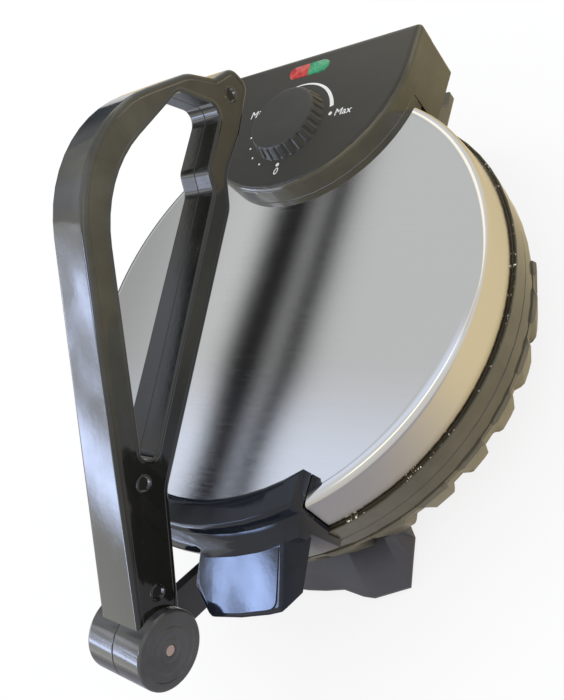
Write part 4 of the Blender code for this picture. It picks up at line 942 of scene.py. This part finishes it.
def ceiling_shader(made):
    """White with dark beams over the steel, warm light behind, and a skylight, spot and tube in front."""
    place = made.place()
    x, y = made.parts(place)[:2]
    sway = made.noise(made.stretched(place, (0.0, 1.6, 0.0)), 1.0, 2.0, 0.5)
    front = 1.0 - y.above(0.12, 0.45)
    lean = -0.034 - front * 0.008 + (sway - 0.5) * 0.04
    across = (x + lean - BEAM_LOW) / (BEAM_HIGH - BEAM_LOW)
    spread_from = 0.66
    across = (across - spread_from) * (1.0 + front * 0.3) + spread_from
    shades = [
        (0.0, 0.56), (0.20, 0.68), (0.47, 0.92), (0.525, 0.84), (0.565, 0.55), (0.600, 0.08), (0.625, 0.02),
        (0.67, 0.0), (0.71, 0.03), (0.745, 0.36), (0.775, 0.36), (0.80, 0.03), (0.83, 0.05), (0.865, 0.38),
        (0.90, 0.70), (0.94, 0.82), (1.0, 0.86),
    ]
    beams = made.node("ShaderNodeValToRGB", {"stops": shades}, {"Fac": across})
    tint = made.mix(front, (1.0, 1.0, 0.98), (1.28, 1.36, 1.54))
    under_beams = made.node("ShaderNodeVectorMath", {"operation": "MULTIPLY"}, {0: beams, 1: tint})
    over_steel = y.above(-0.25, -0.05) * (1.0 - y.above(1.22, 1.36))
    over_dial = y.above(1.0, 1.3) * x.above(-1.32, -1.05)
    rear = made.mix(over_dial, (0.80, 0.80, 0.80), (1.75, 1.66, 1.42))
    beyond = made.mix(y.above(0.9, 1.0), WHITE, rear)
    total = made.mix(over_steel, beyond, under_beams)
    panes = made.noise(place, 3.2, 3.0, 0.6).above(0.36, 0.60)
    skylight = spot(x, y, (-0.72, -0.76), (9.0, 22.0)) * panes
    bright_rim = spot(x, y, (-1.22, -0.55), (20.0, 20.0))
    off_tube = x - y * 0.97 - 0.97
    tube = 1.0 - (off_tube * off_tube).above(0.006, 0.05)
    tube = tube * x.above(0.1, 0.3) * (1.0 - x.above(0.8, 1.2) * 0.7)
    lights = ((skylight, (9.0, 12.5, 22.0)), (bright_rim, (2.2, 2.3, 2.6)), (tube, (1.5, 1.4, 0.85)))
    for share, colour in lights:
        light = made.mix(share, BLACK, colour)
        total = made.node("ShaderNodeVectorMath", {"operation": "ADD"}, {0: total, 1: light})
    return made.shine(total)


def window_shader(made):
    """A bright cool window with wavy lines in its light, and plain wall below and above it."""
    x, y, z = made.parts(made.place())
    along = y * 0.60 - x * 0.40
    slope = made.point((z + along) * 2.4, (z - along) * 26.0)
    waves = made.noise(slope, 1.0, 3.0, 0.55)
    lines = made.math("ABSOLUTE", waves - 0.5).above(0.004, 0.05)
    low = z.above(0.45, 0.56)
    high = 1.0 - z.above(0.88, 1.02) * 0.9
    bar = z.above(0.74, 0.78) * (1.0 - z.above(0.84, 0.88))
    glow = 0.60 - z.above(0.58, 0.68) * 0.50
    panes = glow + waves.above(0.52, 0.59) * (z.above(0.58, 0.72) * 0.45 + 0.25 - bar * 0.5)
    pane = low * high * panes * (lines * 0.5 + 0.5)
    return made.shine(made.mix(pane, (2.0, 2.0, 1.9), (13.0, 15.2, 21.5)))


def dusk_shader(made):
    """Dim navy wall, a little lighter towards its top."""
    height = made.parts(made.place())[2]
    return made.shine(made.mix(height.above(0.5, 1.1), (0.03, 0.05, 0.08), (0.30, 0.33, 0.38)))


def tone_shader(made):
    """Cool grey in front and warm tan behind, lighter to the right."""
    x, y = made.parts(made.place())[:2]
    warm = made.mix(x.above(0.10, 0.24), (0.84, 0.70, 0.44), (1.04, 0.89, 0.58))
    return made.shine(made.mix(y.above(-0.20, 0.00), (0.52, 0.52, 0.60), warm))


def mirrored_room():
    """What the object mirrors: a ceiling, a window at the left front, a far wall and a table top."""
    mirrored_plane("ceiling", level(-2.6, -1.7, 2.6, 2.4, 1.17), ceiling_shader)
    middle = Vector((-1.15, -0.80, 0.62))
    across = Vector((-0.55, 0.83, 0.0)).normalized() * 0.60
    up = Vector((0.0, 0.0, 0.54))
    panes = [tuple(middle + a * across + b * up) for a, b in ((-1, -1), (1, -1), (1, 1), (-1, 1))]
    mirrored_plane("window", panes, window_shader)
    wall = [(-1.9, 0.3, 0.02), (-1.9, 2.4, 0.02), (-1.9, 2.4, 1.12), (-1.9, 0.3, 1.12)]
    mirrored_plane("dusk_wall", wall, dusk_shader)
    mirrored_plane("tone_card", level(-0.6, -1.2, 1.8, 1.6, 0.0008), tone_shader)


def fine_pieces():
    """Pieces that stand for CAD nodes or add to them, each with its finish."""
    gloss = gloss_plastic("gloss_plastic", (0.004, 0.0039, 0.0035), (0.055, 0.054, 0.046), 0.06)
    barrels = gloss_plastic(
        "barrel_plastic", (0.014, 0.014, 0.014), (0.058, 0.058, 0.057), 0.08, painted_shade_heights=(0.0, 0.05),
    )
    # The box's olive-brown tones are a painted warm reflection on black plastic, with dust
    box = gloss_plastic("box_plastic_painted_reflection", (0.016, 0.014, 0.009), (0.070, 0.062, 0.036), 0.09, painted_shade_heights=(0.0, 0.09))
    thumb = gloss_plastic("thumb_plastic", (0.006, 0.008, 0.016), (0.016, 0.020, 0.034), 0.07)
    panel = matt_plastic("panel_film", (0.014, 0.013, 0.009), (0.030, 0.028, 0.020), 0.30)
    knob_plastic = matt_plastic("knob_plastic", (0.018, 0.018, 0.015), (0.036, 0.036, 0.031), 0.36)
    # The shell's warm beige tones are a painted warm reflection on dark plastic, with dust
    shell = matt_plastic("satin_plastic_painted_reflection", (0.075, 0.066, 0.045), (0.160, 0.140, 0.095), 0.34)
    dress(shell, "rear_block", "bottom_cover")
    worn_edge(glinting_edge())
    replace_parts(lever_arm(gloss), "lever_left", "lever_right")
    barrel("barrel_left", -1, barrels)
    barrel("barrel_right", 1, barrels)
    topped = (("control_box", box, "gloss_black"), ("control_panel", panel, "panel_black"))
    for name, material, slot in topped:
        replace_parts(cut(copy_of(name, material), edge_cutter(name)), name)
    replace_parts(scalloped_shell(shell), "base_shell")
    box_foot(box)
    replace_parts(knob(knob_plastic), "knob")
    for name in ("thumb_plate_left", "thumb_plate_right"):
        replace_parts(copy_of(name, thumb, scale=(1.01, 1.05, 1.05)), name)
    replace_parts(steel_cover(brushed_steel()), "steel_cover")


def node_finishes():
    """Finishes of the CAD nodes that stay."""
    # The rings' olive-brown tones are a painted warm reflection on dark plastic, with dust
    ring = gloss_plastic(
        "ring_plastic_painted_reflection", (0.016, 0.014, 0.010), (0.075, 0.066, 0.046), 0.10, painted_shade_heights=(0.0, 0.04),
    )
    dress(ring, "base_ring", "lid_ring")
    stand = matt_plastic("stand_plastic", (0.032, 0.031, 0.038), (0.065, 0.062, 0.073), 0.40)
    dress(stand, "front_stand")
    grip = gloss_plastic(
        "grip_plastic", (0.003, 0.0045, 0.008), (0.012, 0.015, 0.022), 0.07, painted_shade_heights=(0.0, 0.09), ior=1.36,
    )
    dress(grip, "front_grip")
    soften("front_grip", 0.0007)
    soften("front_stand", 0.0008)
    plain = plain_metal("plain_steel_parts", (0.55, 0.54, 0.52), 0.28)
    dress(plain, "lower_pan", "upper_pan", "hinge_pin_left", "hinge_pin_right", "knob_shaft")
    dress(plain, *(f"bottom_screw_{index}" for index in range(1, 5)))
    burnished = plain_metal("burnished_screw", (0.045, 0.042, 0.038), 0.35)
    dress(burnished, *(f"lever_screw_{index}" for index in range(1, 4)))
    dress(plain_metal("copper_pin", (0.66, 0.50, 0.42), 0.30), "pivot_pin")
    dull = plain_metal("dull_element", (0.28, 0.27, 0.26), 0.45)
    dress(dull, "lower_element", "upper_element", "thermostat")
    paint = matt_plastic("bracket_paint", (0.020, 0.019, 0.022), (0.040, 0.038, 0.042), 0.30)
    dress(paint, "lever_bracket")
    rubber = matt_plastic("foot_rubber", (0.018, 0.018, 0.018), (0.035, 0.034, 0.033), 0.70)
    dress(rubber, "rubber_foot_front_left", "rubber_foot_front_right", "rubber_foot_rear_left")
    dress(rubber, "rubber_foot_rear_right", "cable_gland")
    dress(coated_plate(), "lower_plate", "upper_plate")
    dress(lens("red_lens_clear", (0.66, 0.045, 0.04), (0.28, 0.008, 0.008)), "lamp_red")
    dress(lens("green_lens_clear", (0.05, 0.42, 0.20), (0.01, 0.18, 0.08)), "lamp_green")


def unseen_in_steel():
    """Takes the lever and all of the control box out of mirror images: the steel mirrors the ceiling."""
    for piece in bpy.data.objects:
        if piece.name.startswith(("lever_", "control_", "lamp_", "knob", "dial_", "thermostat")):
            piece.visible_glossy = False


bpy.context.scene.view_settings.view_transform = "Standard"
camera()
studio_air()
stage_plane("floor", level(-4, -4, 4, 4, 0), floor_shader)
mirrored_room()
lamp("key", (-0.9, 0.5, 1.5), 1.2, 6.0, (0.93, 0.96, 1.0))
lamp("fill", (1.3, -0.6, 0.9), 1.0, 3.0, (1.0, 0.94, 0.84))
fine_pieces()
node_finishes()
dial_print(screen_print())
unseen_in_steel()
